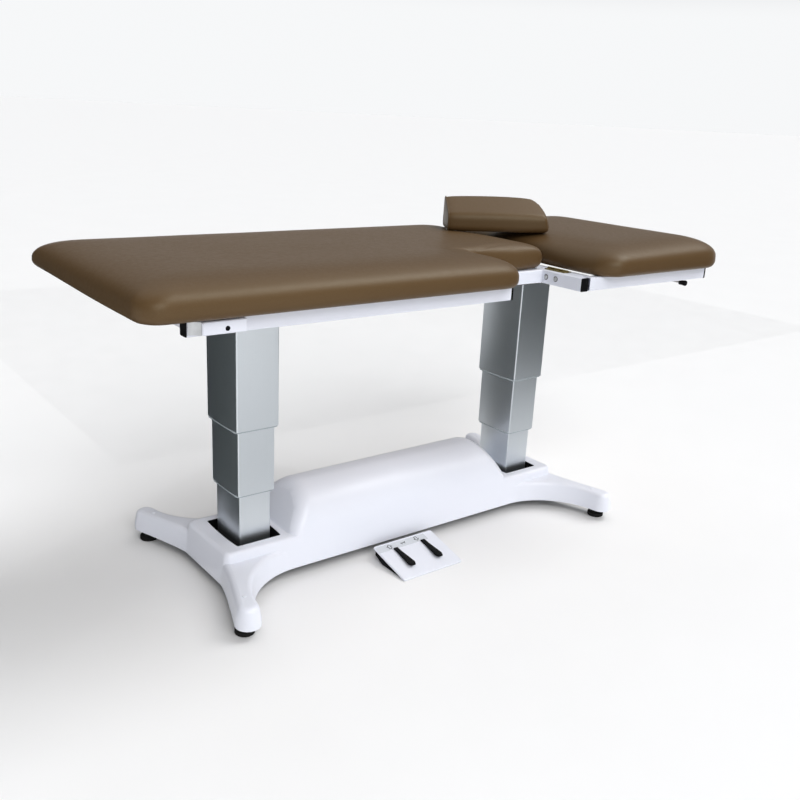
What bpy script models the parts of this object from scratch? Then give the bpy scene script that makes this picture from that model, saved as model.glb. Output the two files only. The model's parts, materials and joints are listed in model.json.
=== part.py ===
"""Height-adjustable examination couch on two telescoping columns.

Metres, +Z up. +X points to the head end and -Y to the side with the cut-out. The origin is on the
floor under the middle of the top.
"""
import math

import bmesh
import bpy
from mathutils import Matrix
from mathutils import Vector

# Clearances
FIT = 0.0003
RUN = 0.0005
STOP_GAP = 0.003

# Top cushions and their boards
TOP_LENGTH = 1.99
TOP_WIDTH = 0.776
MAIN_LENGTH = 1.3625
HEAD_GAP = 0.045
CUSHION_THICKNESS = 0.083
CUSHION_EDGE = 0.100
CUSHION_INNER_EDGE = 0.020
DOME_REACH = 0.20
DOME_FULLNESS = 3.0
DOME_GRID = 0.125
EDGE_STEPS = 6
CUSHION_BOTTOM_ROUND = 0.030
CUSHION_CORNER = 0.072
CUSHION_RIM_CORNER = 0.045
CUSHION_DRAW_IN = 0.003
CUTOUT_LENGTH = 0.2895
CUTOUT_DEPTH = 0.213
CUTOUT_CORNER = 0.02
NARROW_CORNER = 0.046
HEAD_CORNER = 0.095
HEAD_RISE = 0.019
BOARD_THICKNESS = 0.010
BOARD_INSET = 0.040

# Steel tube frame
FRAME_BOTTOM = 0.782
FRAME_WIDTH = 0.68
RAIL_WIDTH = 0.030
RAIL_HEIGHT = 0.040
RAIL_WALL = 0.002
RAIL_CORNER = 0.004
RAIL_FOOT_SETBACK = 0.1075
RAIL_HEAD_SETBACK = 0.0525
CUTOUT_RAIL_SETBACK = 0.0155
INNER_RAIL_INSET = 0.010
FOOT_CROSS_SETBACK = 0.025
END_CROSS_SETBACK = 0.030
STUB_SETBACK = 0.015
CAP_THICKNESS = 0.003
CAP_PLUG = 0.012
BRACKET_LENGTH = 0.105
BRACKET_HEIGHT = 0.030
BRACKET_DEPTH = 0.020
BRACKET_SETBACK = 0.030
BRACKET_ROUND = 0.002

# Hinges of the head section
HINGE_TUBE_OVERLAP = 0.025
HINGE_GAP = 0.0066
HINGE_LENGTH = 0.080
HINGE_Y = 0.212
KNUCKLE_COUNT = 5
KNUCKLE_RADIUS = 0.0035
KNUCKLE_WRAP = math.radians(145.0)
LEAF_THICKNESS = 0.0025
LEAF_WIDTH = 0.012
LEAF_EDGE_GAP = 0.0006
HINGE_PIN_RADIUS = 0.0015
HEAD_TILT = math.radians(60.0)

# Gas strut
STRUT_ARM = 0.100
STRUT_PIN_RADIUS = 0.004
STRUT_PLATE = 0.006
STRUT_BOSS_RADIUS = 0.010
STRUT_ROD_RADIUS = 0.005
STRUT_TUBE_RADIUS = 0.012
STRUT_TUBE_LENGTH = 0.190
STRUT_ROD_LENGTH = 0.170
STRUT_SIDE_PLAY = 0.0012
STRUT_EYE_WALL = 0.005

# Release lever
LEVER_Y = 0.200
LEVER_DROP = 0.020
LEVER_HUB_RADIUS = 0.009
LEVER_HUB_HEIGHT = 0.014
LEVER_PIN_RADIUS = 0.004
LEVER_ROD_RADIUS = 0.0035
LEVER_REACH = 0.0825
LEVER_KNOB_RADIUS = 0.0075
LEVER_KNOB_LENGTH = 0.022

# Telescoping columns
COLUMN_SPACING = 1.0
COLUMN_OFFSET = -0.0775
UPPER_X = 0.125
UPPER_Y = 0.173
STAGE_STEP_X = 0.0075
STAGE_STEP_Y = 0.009
TUBE_WALL = 0.0035
FACE_BOW = 0.004
TUBE_CORNER = 0.004
LIP_HEIGHT = 0.012
UPPER_BOTTOM = 0.443
MIDDLE_BOTTOM = 0.256
LIFT_DOWN = 0.37
COLUMN_PLATE = 0.006
COLUMN_PLATE_MARGIN = 0.012
COLUMN_PLATE_BITE = 0.008
COLUMN_PLATE_REACH = 0.060

# Spindle drives inside the columns
SCREW_RADIUS = 0.009
SPINDLE_WALL = 0.0037
PUSH_WALL = 0.0033
SCREW_Y = -0.035
MOTOR_Y = 0.030
MOTOR_RADIUS = 0.025
MOTOR_LENGTH = 0.110
GEARBOX_X = 0.075
GEARBOX_Y = 0.115
GEARBOX_HEIGHT = 0.030

# Base cover
SKIRT_BOTTOM = 0.030
SKIRT_STRAIGHT = 0.020
BASE_HALF_LENGTH = 0.625
BASE_HALF_WIDTH = 0.135
TRUNK_PROUD = 0.0005
COVER_WALL = 0.004
LEG_ARC = 0.215
LEG_REACH = 0.355
LEG_TIP_RADIUS = 0.0335
LEG_OUTER_ANGLE = math.radians(20.0)
END_FACE_HALF = 0.10
LEG_TOP = 0.095
LEG_TIP_DROP = 0.008
LEG_ROUND = 0.016
LEG_DRAFT = 0.005
DECK_TOP = 0.121
DECK_ROUND = 0.012
DECK_CORNER = 0.032
TRUNK_DRAFT = 0.009
HUMP_RADIUS = 0.1252
HUMP_TOP = 0.235
HUMP_HALF_LENGTH = 0.412
HUMP_LEAN = math.radians(30.0)
HUMP_ROUND = 0.030
WELL_CLEAR_X = 0.003
WELL_CLEAR_Y = 0.005
WELL_WALL = 0.002
WELL_DEPTH = 0.060
WELL_SINK = 0.001

# Chassis, levelling feet and electrics
CHASSIS_BOTTOM = 0.034
CHASSIS_THICKNESS = 0.008
FOOT_SETBACK = 0.0175
FOOT_RADIUS = 0.026
FOOT_PAD = 0.012
FOOT_COLLAR_RADIUS = 0.011
FOOT_CONE_TOP = 0.024
FOOT_STEM_RADIUS = 0.006
FOOT_STEM_TOP = 0.058
CONTROL_LENGTH = 0.30
CONTROL_WIDTH = 0.12
CONTROL_HEIGHT = 0.065
CONTROL_ROUND = 0.004
INLET_X = 0.11
INLET_Z = 0.078
INLET_WIDTH = 0.046
INLET_HEIGHT = 0.022
INLET_DEPTH = 0.026
INLET_FLANGE = 0.005
INLET_FLANGE_THICKNESS = 0.0025
INLET_WALL = 0.003
INLET_SOCKET_DEPTH = 0.016

# Foot switch
SWITCH_X = -0.135
SWITCH_WIDTH = 0.216
SWITCH_FRONT = -0.320
SWITCH_LENGTH = 0.158
SWITCH_SLOPE = math.radians(13.1)
SWITCH_FRONT_HEIGHT = 0.006
SWITCH_PLATE = 0.005
SWITCH_CORNER = 0.006
SWITCH_SIDE_INSET = 0.006
SWITCH_BACK_FLOOR = 0.113
SWITCH_BACK_UNDERCUT = 0.016
PEDAL_SPACING = 0.101
PEDAL_LENGTH = 0.090
PEDAL_BACK = 0.040
PEDAL_NARROW = 0.014
PEDAL_WIDE = 0.024
PEDAL_THICKNESS = 0.005
PEDAL_TRAVEL = math.radians(4.0)
PEDAL_NECK = 0.010
PEDAL_HUB_RADIUS = 0.0055
PEDAL_AXLE_RADIUS = 0.002
PEDAL_AXLE_DEPTH = 0.014
PEDAL_AXLE_END = 0.016
PEDAL_SLOT_GAP = 0.003

# Pillow
PILLOW_LENGTH = 0.331
PILLOW_DEPTH = 0.145
PILLOW_FRONT_HEIGHT = 0.052
PILLOW_BACK_HEIGHT = 0.104
PILLOW_BACK_SLOPE = 0.024
PILLOW_ROUND = 0.018
PILLOW_NOSE = 0.026
PILLOW_END_LEAN = 0.20
PILLOW_END_CORNER = 0.050
PILLOW_TURN = math.radians(-33.4)
PILLOW_X = 0.222
PILLOW_Y = 0.131
PILLOW_TILT = math.radians(0.76)
PILLOW_SINK = 0.0020
PILLOW_SWELL = 0.005
PILLOW_END_ROUND = 0.012
PILLOW_STEPS = 8

# Values worked out from the driving dimensions
FOOT_END = -TOP_LENGTH / 2
HEAD_END = TOP_LENGTH / 2
MAIN_END = FOOT_END + MAIN_LENGTH
HEAD_START = MAIN_END + HEAD_GAP
HALF_WIDTH = TOP_WIDTH / 2
CUTOUT_START = MAIN_END - CUTOUT_LENGTH
CUTOUT_FACE = -HALF_WIDTH + CUTOUT_DEPTH
FRAME_TOP = FRAME_BOTTOM + RAIL_HEIGHT
FRAME_HALF = FRAME_WIDTH / 2
RAIL_Z = FRAME_BOTTOM + RAIL_HEIGHT / 2
RAIL_Y = FRAME_HALF - RAIL_WIDTH / 2
INNER_RAIL_Y = -CUTOUT_FACE - INNER_RAIL_INSET
RAIL_FOOT_END = FOOT_END + RAIL_FOOT_SETBACK
RAIL_CUTOUT_END = CUTOUT_START - CUTOUT_RAIL_SETBACK
RAIL_HEAD_END = HEAD_END - RAIL_HEAD_SETBACK
HINGE_TUBE_X = MAIN_END - HINGE_TUBE_OVERLAP + RAIL_WIDTH / 2
PIVOT_X = HINGE_TUBE_X + RAIL_WIDTH / 2 + HINGE_GAP / 2
PIVOT_Z = FRAME_TOP + FIT + KNUCKLE_RADIUS
HEAD_TUBE_X = PIVOT_X + HINGE_GAP / 2 + RAIL_WIDTH / 2
END_TUBE_X = RAIL_HEAD_END - END_CROSS_SETBACK - RAIL_WIDTH / 2
FOOT_CROSS_X = RAIL_FOOT_END + FOOT_CROSS_SETBACK + RAIL_WIDTH / 2
CUSHION_BOTTOM = FRAME_TOP + FIT
CUSHION_TOP = CUSHION_BOTTOM + CUSHION_THICKNESS
CHASSIS_TOP = CHASSIS_BOTTOM + CHASSIS_THICKNESS
STAGE_FLOOR = CHASSIS_TOP + FIT
UPPER_TOP = FRAME_BOTTOM - COLUMN_PLATE - 2 * FIT
MIDDLE_TOP = UPPER_TOP - LIFT_DOWN / 2 - STOP_GAP
LOWER_TOP = UPPER_TOP - LIFT_DOWN - STOP_GAP
GEARBOX_BOTTOM = UPPER_TOP - GEARBOX_HEIGHT
SPINDLE_INNER = SCREW_RADIUS + RUN
SPINDLE_OUTER = SPINDLE_INNER + SPINDLE_WALL
PUSH_INNER = SPINDLE_OUTER + RUN
PUSH_OUTER = PUSH_INNER + PUSH_WALL
COLUMNS = {
    "foot": COLUMN_OFFSET - COLUMN_SPACING / 2,
    "head": COLUMN_OFFSET + COLUMN_SPACING / 2,
}


# Mesh helpers

def clear_scene():
    for item in list(bpy.data.objects):
        bpy.data.objects.remove(item, do_unlink=True)


def make_material(name, colour, roughness, metallic=0.0):
    material = bpy.data.materials.new(name)
    material.use_nodes = True
    shader = material.node_tree.nodes["Principled BSDF"]
    shader.inputs["Base Color"].default_value = (*colour, 1.0)
    shader.inputs["Roughness"].default_value = roughness
    shader.inputs["Metallic"].default_value = metallic
    return material


def make_axis(name, location):
    """An empty on a joint's axis that carries the pieces of one moving body."""
    axis = bpy.data.objects.new(name, None)
    axis.location = location
    axis.empty_display_size = 0.05
    bpy.context.collection.objects.link(axis)
    return axis


def make_object(name, bm, material, axis=None, smooth=True):
    """Turn a bmesh in world coordinates into an object with its origin on its body's axis."""
    bmesh.ops.remove_doubles(bm, verts=bm.verts, dist=1e-7)
    bmesh.ops.recalc_face_normals(bm, faces=bm.faces)
    mesh = bpy.data.meshes.new(name)
    bm.to_mesh(mesh)
    bm.free()
    if smooth:
        mesh.shade_smooth()
        mesh.set_sharp_from_angle(angle=math.radians(35.0))
    item = bpy.data.objects.new(name, mesh)
    bpy.context.collection.objects.link(item)
    if material:
        mesh.materials.append(material)
    if axis:
        origin = axis.location.copy()
        mesh.transform(Matrix.Translation(-origin))
        item.parent = axis
    return item


def make_tool(name, bm, axis=None):
    """A hidden solid that a Boolean cuts away or adds."""
    tool = make_object(name, bm, None, axis, smooth=False)
    tool.hide_render = True
    tool.display_type = "WIRE"
    return tool


def boolean(target, tool, operation):
    modifier = target.modifiers.new(tool.name, "BOOLEAN")
    modifier.operation = operation
    modifier.solver = "EXACT"
    modifier.object = tool


def loft(bm, loops, closed=False):
    """Skin equal loops of points in order; closed joins the last loop to the first."""
    rings = []
    for loop in loops:
        rings.append([bm.verts.new(point) for point in loop])
    pairs = list(zip(rings, rings[1:]))
    if closed:
        pairs.append((rings[-1], rings[0]))
    for lower, upper in pairs:
        count = len(lower)
        for i in range(count):
            j = (i + 1) % count
            bm.faces.new((lower[i], lower[j], upper[j], upper[i]))
    if not closed:
        bm.faces.new(list(reversed(rings[0])))
        bm.faces.new(rings[-1])


def lifted(outline, z):
    return [(x, y, z) for x, y in outline]


def prism(bm, outline, z0, z1):
    loft(bm, [lifted(outline, z0), lifted(outline, z1)])


def ring_prism(bm, outer, inner, z0, z1):
    loft(bm, [lifted(outer, z0), lifted(outer, z1), lifted(inner, z1), lifted(inner, z0)], closed=True)


def box(bm, low, high):
    outline = [(low[0], low[1]), (high[0], low[1]), (high[0], high[1]), (low[0], high[1])]
    prism(bm, outline, low[2], high[2])


def along(axis, points, offset):
    """Map local points (u, v, w) so that w runs along the named world axis."""
    ox, oy, oz = offset
    if axis == "X":
        return [(ox + w, oy + u, oz + v) for u, v, w in points]
    if axis == "Y":
        return [(ox + v, oy + w, oz + u) for u, v, w in points]
    return [(ox + u, oy + v, oz + w) for u, v, w in points]


def circle(radius, segments):
    step = 2 * math.pi / segments
    return [(radius * math.cos(i * step), radius * math.sin(i * step)) for i in range(segments)]


def cylinder(bm, axis, centre, radius, w0, w1, segments=16):
    outline = circle(radius, segments)
    loft(bm, [along(axis, lifted(outline, w0), centre), along(axis, lifted(outline, w1), centre)])


def turned(bm, axis, centre, profile, segments=16, hollow=False):
    """Revolve (radius, w) points; hollow closes the profile on itself instead of capping it."""
    loops = []
    for radius, w in profile:
        loops.append(along(axis, lifted(circle(radius, segments), w), centre))
    loft(bm, loops, closed=hollow)


def arc(centre, radius, start, end, segments):
    points = []
    for i in range(segments + 1):
        angle = start + (end - start) * i / segments
        points.append((centre[0] + radius * math.cos(angle), centre[1] + radius * math.sin(angle)))
    return points


def rounded_polygon(corners, segments=4, edge_cuts=0):
    """Round each (x, y, radius) corner of a polygon, with extra points along its edges."""
    rounded = []
    count = len(corners)
    for i in range(count):
        here = Vector(corners[i][:2])
        before = (Vector(corners[i - 1][:2]) - here).normalized()
        after = (Vector(corners[(i + 1) % count][:2]) - here).normalized()
        half = before.angle(after) / 2
        reach = corners[i][2] / math.tan(half)
        centre = here + (before + after).normalized() * corners[i][2] / math.sin(half)
        first = here + before * reach - centre
        turn = first.angle_signed(here + after * reach - centre)
        start = math.atan2(first.y, first.x)
        rounded.append(arc(centre, corners[i][2], start, start - turn, segments))
    outline = []
    for i in range(count):
        outline += rounded[i]
        a = Vector(rounded[i][-1])
        b = Vector(rounded[(i + 1) % count][0])
        for k in range(1, edge_cuts + 1):
            outline.append(tuple(a.lerp(b, k / (edge_cuts + 1))))
    return outline


def rounded_rect(width, depth, radius, segments=3):
    w = width / 2
    d = depth / 2
    return rounded_polygon([(w, -d, radius), (w, d, radius), (-w, d, radius), (-w, -d, radius)], segments)


def offset_loop(outline, distance):
    """Move a counter-clockwise outline outwards by distance, along mitred corner normals."""
    moved = []
    count = len(outline)
    for i in range(count):
        here = Vector(outline[i])
        into = (here - Vector(outline[i - 1])).normalized()
        out = (Vector(outline[(i + 1) % count]) - here).normalized()
        normal = Vector((into.y + out.y, -into.x - out.x)).normalized()
        mitre = normal.dot(Vector((into.y, -into.x)))
        moved.append(tuple(here + normal * distance / mitre))
    return moved


def quarter_round(inset, bottom, radius, segments):
    """(inset, z) steps of an edge rounded from the side to the top."""
    steps = []
    for i in range(segments + 1):
        angle = math.pi / 2 * i / segments
        steps.append((inset + radius * (1 - math.cos(angle)), bottom + radius * math.sin(angle)))
    return steps


clear_scene()

# Materials
WHITE = make_material("white_enamel", (0.86, 0.86, 0.90), 0.25)
MOULDED = make_material("white_moulding", (0.88, 0.88, 0.92), 0.22)
ALUMINIUM = make_material("satin_aluminium", (0.62, 0.65, 0.65), 0.32, 1.0)
BLACK = make_material("black_plastic", (0.012, 0.012, 0.013), 0.45)
RUBBER = make_material("black_rubber", (0.015, 0.015, 0.015), 0.7)
STEEL = make_material("zinc_steel", (0.45, 0.46, 0.47), 0.4, 1.0)
DARK_STEEL = make_material("dark_steel", (0.05, 0.055, 0.055), 0.45, 0.6)
BRASS = make_material("brass", (0.55, 0.42, 0.18), 0.35, 1.0)
PLYWOOD = make_material("plywood", (0.45, 0.32, 0.19), 0.65)
LEATHERETTE = make_material("brown_leatherette", (0.16, 0.115, 0.07), 0.42)

# Joint axes
LIFT = make_axis("lift_axis", (COLUMN_OFFSET, 0, FRAME_BOTTOM))
HEAD = make_axis("head_hinge_axis", (PIVOT_X, 0, PIVOT_Z))
MIDDLES = {side: make_axis(f"{side}_middle_axis", (x, 0, MIDDLE_BOTTOM)) for side, x in COLUMNS.items()}
HEAD.parent = LIFT
HEAD.matrix_parent_inverse = Matrix.Translation(-LIFT.location)


# Columns

def column_outline(grow_x, grow_y):
    """Plan of a column tube: flat sides, bowed ends, small corner radius."""
    half_x = UPPER_X / 2 + grow_x
    half_y = UPPER_Y / 2 + grow_y
    flat_y = half_y - TUBE_CORNER
    bow_radius = (flat_y ** 2 + FACE_BOW ** 2) / (2 * FACE_BOW)
    bow_angle = math.asin(flat_y / bow_radius)
    corner_x = half_x - TUBE_CORNER
    right = arc((half_x + FACE_BOW - bow_radius, 0), bow_radius, -bow_angle, bow_angle, 6)
    top = arc((corner_x, flat_y), TUBE_CORNER, bow_angle, math.pi / 2, 3)[1:]
    half = right + top
    turned_round = [(-x, -y) for x, y in half]
    bottom_right = [(corner_x, -half_y)] + [(x, -y) for x, y in reversed(top[:-1])]
    bottom_left = [(-x, -y) for x, y in bottom_right]
    return bottom_right + half + bottom_left + turned_round


def stage_outline(stage, extra=0.0):
    """Outline of stage 0 (upper), 1 (middle) or 2 (lower), grown by extra."""
    return offset_loop(column_outline(-stage * STAGE_STEP_X, -stage * STAGE_STEP_Y), extra)


def stage_tube(name, stage, x, z0, z1, axis):
    """One drawn tube; the outer stages end in a lip that guides the next stage."""
    def shifted(outline, z):
        return [(x + px, py, z) for px, py in outline]

    outer = stage_outline(stage)
    inner = stage_outline(stage, -TUBE_WALL)
    loops = [shifted(outer, z0), shifted(outer, z1), shifted(inner, z1)]
    if stage < 2:
        guide = stage_outline(stage + 1, RUN)
        loops += [shifted(inner, z0 + LIP_HEIGHT), shifted(guide, z0 + LIP_HEIGHT), shifted(guide, z0)]
    else:
        loops.append(shifted(inner, z0))
    bm = bmesh.new()
    loft(bm, loops, closed=True)
    make_object(name, bm, ALUMINIUM, axis)


def tube_solid(name, x, y, inner, outer, z0, z1, material, axis=None):
    bm = bmesh.new()
    profile = [(outer, z0), (outer, z1), (inner, z1), (inner, z0)]
    turned(bm, "Z", (x, y, 0), profile, 14, hollow=True)
    make_object(name, bm, material, axis)


def drive_unit(name, x):
    """Gearbox under the column plate, with the motor and the lead screw hanging from it."""
    bm = bmesh.new()
    low = (x - GEARBOX_X / 2, -GEARBOX_Y / 2, GEARBOX_BOTTOM)
    box(bm, low, (x + GEARBOX_X / 2, GEARBOX_Y / 2, UPPER_TOP))
    unit = make_object(name, bm, DARK_STEEL, LIFT)
    inside = GEARBOX_BOTTOM + GEARBOX_HEIGHT / 2
    bm = bmesh.new()
    cylinder(bm, "Z", (x, MOTOR_Y, 0), MOTOR_RADIUS, GEARBOX_BOTTOM - MOTOR_LENGTH, inside)
    screw_bottom = CHASSIS_TOP + LIFT_DOWN + 2 * STOP_GAP
    cylinder(bm, "Z", (x, SCREW_Y, 0), SCREW_RADIUS, screw_bottom, inside, 14)
    boolean(unit, make_tool(f"{name}_motor_and_screw", bm, LIFT), "UNION")


def column_plate(name, x0, x1):
    half_y = INNER_RAIL_Y - RAIL_WIDTH / 2 + COLUMN_PLATE_BITE
    outline = rounded_rect(x1 - x0, 2 * half_y, COLUMN_PLATE_MARGIN / 2)
    middle = (x0 + x1) / 2
    bm = bmesh.new()
    z0 = UPPER_TOP + FIT
    prism(bm, [(middle + x, y) for x, y in outline], z0, z0 + COLUMN_PLATE)
    make_object(name, bm, DARK_STEEL, LIFT)


def columns():
    for side, x in COLUMNS.items():
        stage_tube(f"upper_tube_{side}", 0, x, UPPER_BOTTOM, UPPER_TOP, LIFT)
        stage_tube(f"middle_tube_{side}", 1, x, MIDDLE_BOTTOM, MIDDLE_TOP, MIDDLES[side])
        stage_tube(f"lower_tube_{side}", 2, x, STAGE_FLOOR, LOWER_TOP, None)
        drive_unit(f"drive_unit_{side}", x)
        push_top = GEARBOX_BOTTOM - LIFT_DOWN - STOP_GAP
        tube_solid(f"push_tube_{side}", x, SCREW_Y, PUSH_INNER, PUSH_OUTER, STAGE_FLOOR, push_top, STEEL)
        spindle_bottom = STAGE_FLOOR + LIFT_DOWN / 2 + STOP_GAP
        spindle_top = push_top + LIFT_DOWN / 2
        tube_solid(f"spindle_{side}", x, SCREW_Y, SPINDLE_INNER, SPINDLE_OUTER,
                   spindle_bottom, spindle_top, STEEL, MIDDLES[side])
    margin = UPPER_X / 2 + FACE_BOW + COLUMN_PLATE_MARGIN
    column_plate("column_plate_foot", COLUMNS["foot"] - margin, COLUMNS["foot"] + margin)
    head_low = min(COLUMNS["head"] - margin, HINGE_TUBE_X - RAIL_WIDTH / 2 - COLUMN_PLATE_REACH)
    column_plate("column_plate_head", head_low, COLUMNS["head"] + margin)


# Base cover

def base_outline():
    """Plan of the skirt: waist, four splayed legs with round tips, and the end faces."""
    centre = (BASE_HALF_LENGTH - LEG_ARC, BASE_HALF_WIDTH + LEG_ARC)
    tip_y = LEG_REACH - LEG_TIP_RADIUS
    lean = math.asin((tip_y - centre[1]) / (LEG_ARC + LEG_TIP_RADIUS))
    tip = (centre[0] + (LEG_ARC + LEG_TIP_RADIUS) * math.cos(lean), tip_y)
    tip_arc = arc(tip, LEG_TIP_RADIUS, -LEG_OUTER_ANGLE, math.pi + lean, 10)
    start = Vector((BASE_HALF_LENGTH, END_FACE_HALF))
    touch = Vector(tip_arc[0])
    rise = (touch.x - BASE_HALF_LENGTH) / math.tan(LEG_OUTER_ANGLE)
    control = Vector((BASE_HALF_LENGTH, touch.y - rise))
    quarter = []
    for i in range(6):
        t = i / 6
        quarter.append(tuple(start * (1 - t) ** 2 + control * 2 * t * (1 - t) + touch * t ** 2))
    quarter += tip_arc
    quarter += arc(centre, LEG_ARC, lean, -math.pi / 2, 13)[1:]
    mirrored = [(-x, y) for x, y in reversed(quarter)]
    upper = quarter + mirrored
    return upper + [(-x, -y) for x, y in upper], tip


BASE_OUTLINE, LEG_TIP = base_outline()


def on_base(outline, z):
    return [(COLUMN_OFFSET + x, y, z) for x, y in outline]


def legs_solid(shrink):
    """The four legs with rounded tops that slope down to the tips."""
    bm = bmesh.new()
    bottom = SKIRT_BOTTOM - (COVER_WALL if shrink else 0)
    fixed = SKIRT_BOTTOM + SKIRT_STRAIGHT
    top = LEG_TOP - shrink
    radius = LEG_ROUND - shrink
    steps = [(0, bottom), (0, fixed)] + quarter_round(LEG_DRAFT, top - radius, radius, 1 if shrink else 4)
    outline = offset_loop(BASE_OUTLINE, -shrink)
    loft(bm, [on_base(offset_loop(outline, -inset), z) for inset, z in steps])
    for side in (-1, 1):
        geometry = bm.verts[:] + bm.edges[:] + bm.faces[:]
        edge = (0, side * BASE_HALF_WIDTH, 0)
        bmesh.ops.bisect_plane(bm, geom=geometry, plane_co=edge, plane_no=(0, 1, 0))
    slope = LEG_TIP_DROP / (LEG_REACH - BASE_HALF_WIDTH)
    for vert in bm.verts:
        beyond = abs(vert.co.y) - BASE_HALF_WIDTH
        if beyond > 0 and vert.co.z > fixed:
            vert.co.z -= slope * beyond * (vert.co.z - fixed) / (top - fixed)
    return bm


def trunk_lean():
    """Angle by which the skirt's sides lean in."""
    return math.atan2(TRUNK_DRAFT, DECK_TOP - DECK_ROUND - SKIRT_BOTTOM - SKIRT_STRAIGHT)


def trunk_solid(shrink):
    """The body between the legs, with the two decks that the columns stand in."""
    bm = bmesh.new()
    bottom = SKIRT_BOTTOM - (COVER_WALL if shrink else 0)
    fixed = SKIRT_BOTTOM + SKIRT_STRAIGHT
    radius = DECK_ROUND - shrink
    rim = quarter_round(TRUNK_DRAFT, DECK_TOP - shrink - radius, radius, 1 if shrink else 3)
    steps = [(0, bottom), (0, fixed)] + rim
    grow = TRUNK_PROUD - shrink
    outline = rounded_rect(2 * (BASE_HALF_LENGTH + grow), 2 * (BASE_HALF_WIDTH + grow), DECK_CORNER, 5)
    loft(bm, [on_base(offset_loop(outline, -inset), z) for inset, z in steps])
    return bm


def hump_solid(shrink):
    """Barrel hump over the electrics: flanks in line with the skirt, ends leaning in, rounded rims."""
    radius = HUMP_RADIUS - shrink
    centre_z = HUMP_TOP - HUMP_RADIUS
    floor = DECK_TOP - DECK_ROUND - 2 * COVER_WALL - shrink
    flank = trunk_lean()
    crest = arc((0, centre_z), radius, flank, math.pi - flank, 18)
    spread = crest[0][0] + (crest[0][1] - floor) * math.tan(flank)
    arch = [(spread, floor)] + crest + [(-spread, floor)]
    bm = bmesh.new()
    half = HUMP_HALF_LENGTH - shrink
    reach = half + HUMP_RADIUS
    loft(bm, [[(COLUMN_OFFSET + side * reach, y, z) for y, z in arch] for side in (-1, 1)])
    rims = []
    for side in (-1, 1):
        normal = Vector((side * math.cos(HUMP_LEAN), 0, math.sin(HUMP_LEAN)))
        through = (COLUMN_OFFSET + side * half, 0, DECK_TOP - shrink)
        geometry = bm.verts[:] + bm.edges[:] + bm.faces[:]
        cut = bmesh.ops.bisect_plane(bm, geom=geometry, plane_co=through, plane_no=normal, clear_outer=True)
        edges = [item for item in cut["geom_cut"] if isinstance(item, bmesh.types.BMEdge)]
        bmesh.ops.contextual_create(bm, geom=edges)
        rims += [edge for edge in edges if max(v.co.z for v in edge.verts) > DECK_TOP]
    bmesh.ops.bevel(bm, geom=rims, offset=HUMP_ROUND - shrink, segments=3, profile=0.5, affect="EDGES")
    return bm


def well_outline(extra):
    """Opening that the column's upper stage sinks into, grown by extra."""
    return offset_loop(column_outline(WELL_CLEAR_X, WELL_CLEAR_Y), extra)


def inlet_frame():
    """World matrix of the mains inlet on the back wall: local +Y points out of the wall."""
    above = INLET_Z - SKIRT_BOTTOM - SKIRT_STRAIGHT
    y = BASE_HALF_WIDTH + TRUNK_PROUD - above * math.tan(trunk_lean())
    return Matrix.Translation((INLET_X, y, INLET_Z)) @ Matrix.Rotation(trunk_lean(), 4, "X")


def base_cover():
    cover = make_object("base_cover", trunk_solid(0), MOULDED)
    boolean(cover, make_tool("cover_legs", legs_solid(0)), "UNION")
    boolean(cover, make_tool("cover_hump", hump_solid(0)), "UNION")
    boolean(cover, make_tool("cover_trunk_hollow", trunk_solid(COVER_WALL)), "DIFFERENCE")
    boolean(cover, make_tool("cover_leg_hollow", legs_solid(COVER_WALL)), "DIFFERENCE")
    boolean(cover, make_tool("cover_hump_hollow", hump_solid(COVER_WALL)), "DIFFERENCE")
    bm = bmesh.new()
    for x in COLUMNS.values():
        outline = [(x + px, py) for px, py in well_outline(WELL_WALL + FIT)]
        prism(bm, outline, DECK_TOP - WELL_DEPTH, DECK_TOP + WELL_DEPTH)
    boolean(cover, make_tool("cover_wells", bm), "DIFFERENCE")
    bm = bmesh.new()
    half_x = INLET_WIDTH / 2 + FIT
    half_z = INLET_HEIGHT / 2 + FIT
    box(bm, (-half_x, -INLET_DEPTH, -half_z), (half_x, INLET_DEPTH, half_z))
    bm.transform(inlet_frame())
    boolean(cover, make_tool("cover_inlet_hole", bm), "DIFFERENCE")


def column_wells():
    for side, x in COLUMNS.items():
        outer = [(x + px, py) for px, py in well_outline(WELL_WALL)]
        inner = [(x + px, py) for px, py in well_outline(0)]
        bm = bmesh.new()
        ring_prism(bm, outer, inner, DECK_TOP - WELL_DEPTH, DECK_TOP - WELL_SINK)
        make_object(f"column_well_{side}", bm, BLACK)


FEET = {
    "front_left": (-1, -1),
    "front_right": (1, -1),
    "back_left": (-1, 1),
    "back_right": (1, 1),
}


def foot_place(name):
    side_x, side_y = FEET[name]
    return COLUMN_OFFSET + side_x * LEG_TIP[0], side_y * (LEG_TIP[1] - FOOT_SETBACK)


def chassis():
    outline = offset_loop(BASE_OUTLINE, -COVER_WALL - FIT)
    bm = bmesh.new()
    loft(bm, [on_base(outline, CHASSIS_BOTTOM), on_base(outline, CHASSIS_TOP)])
    plate = make_object("chassis", bm, DARK_STEEL)
    bm = bmesh.new()
    for name in FEET:
        x, y = foot_place(name)
        hole = FOOT_STEM_RADIUS + RUN
        cylinder(bm, "Z", (x, y, CHASSIS_BOTTOM), hole, -CHASSIS_THICKNESS, 2 * CHASSIS_THICKNESS)
    boolean(plate, make_tool("chassis_foot_holes", bm), "DIFFERENCE")


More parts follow.
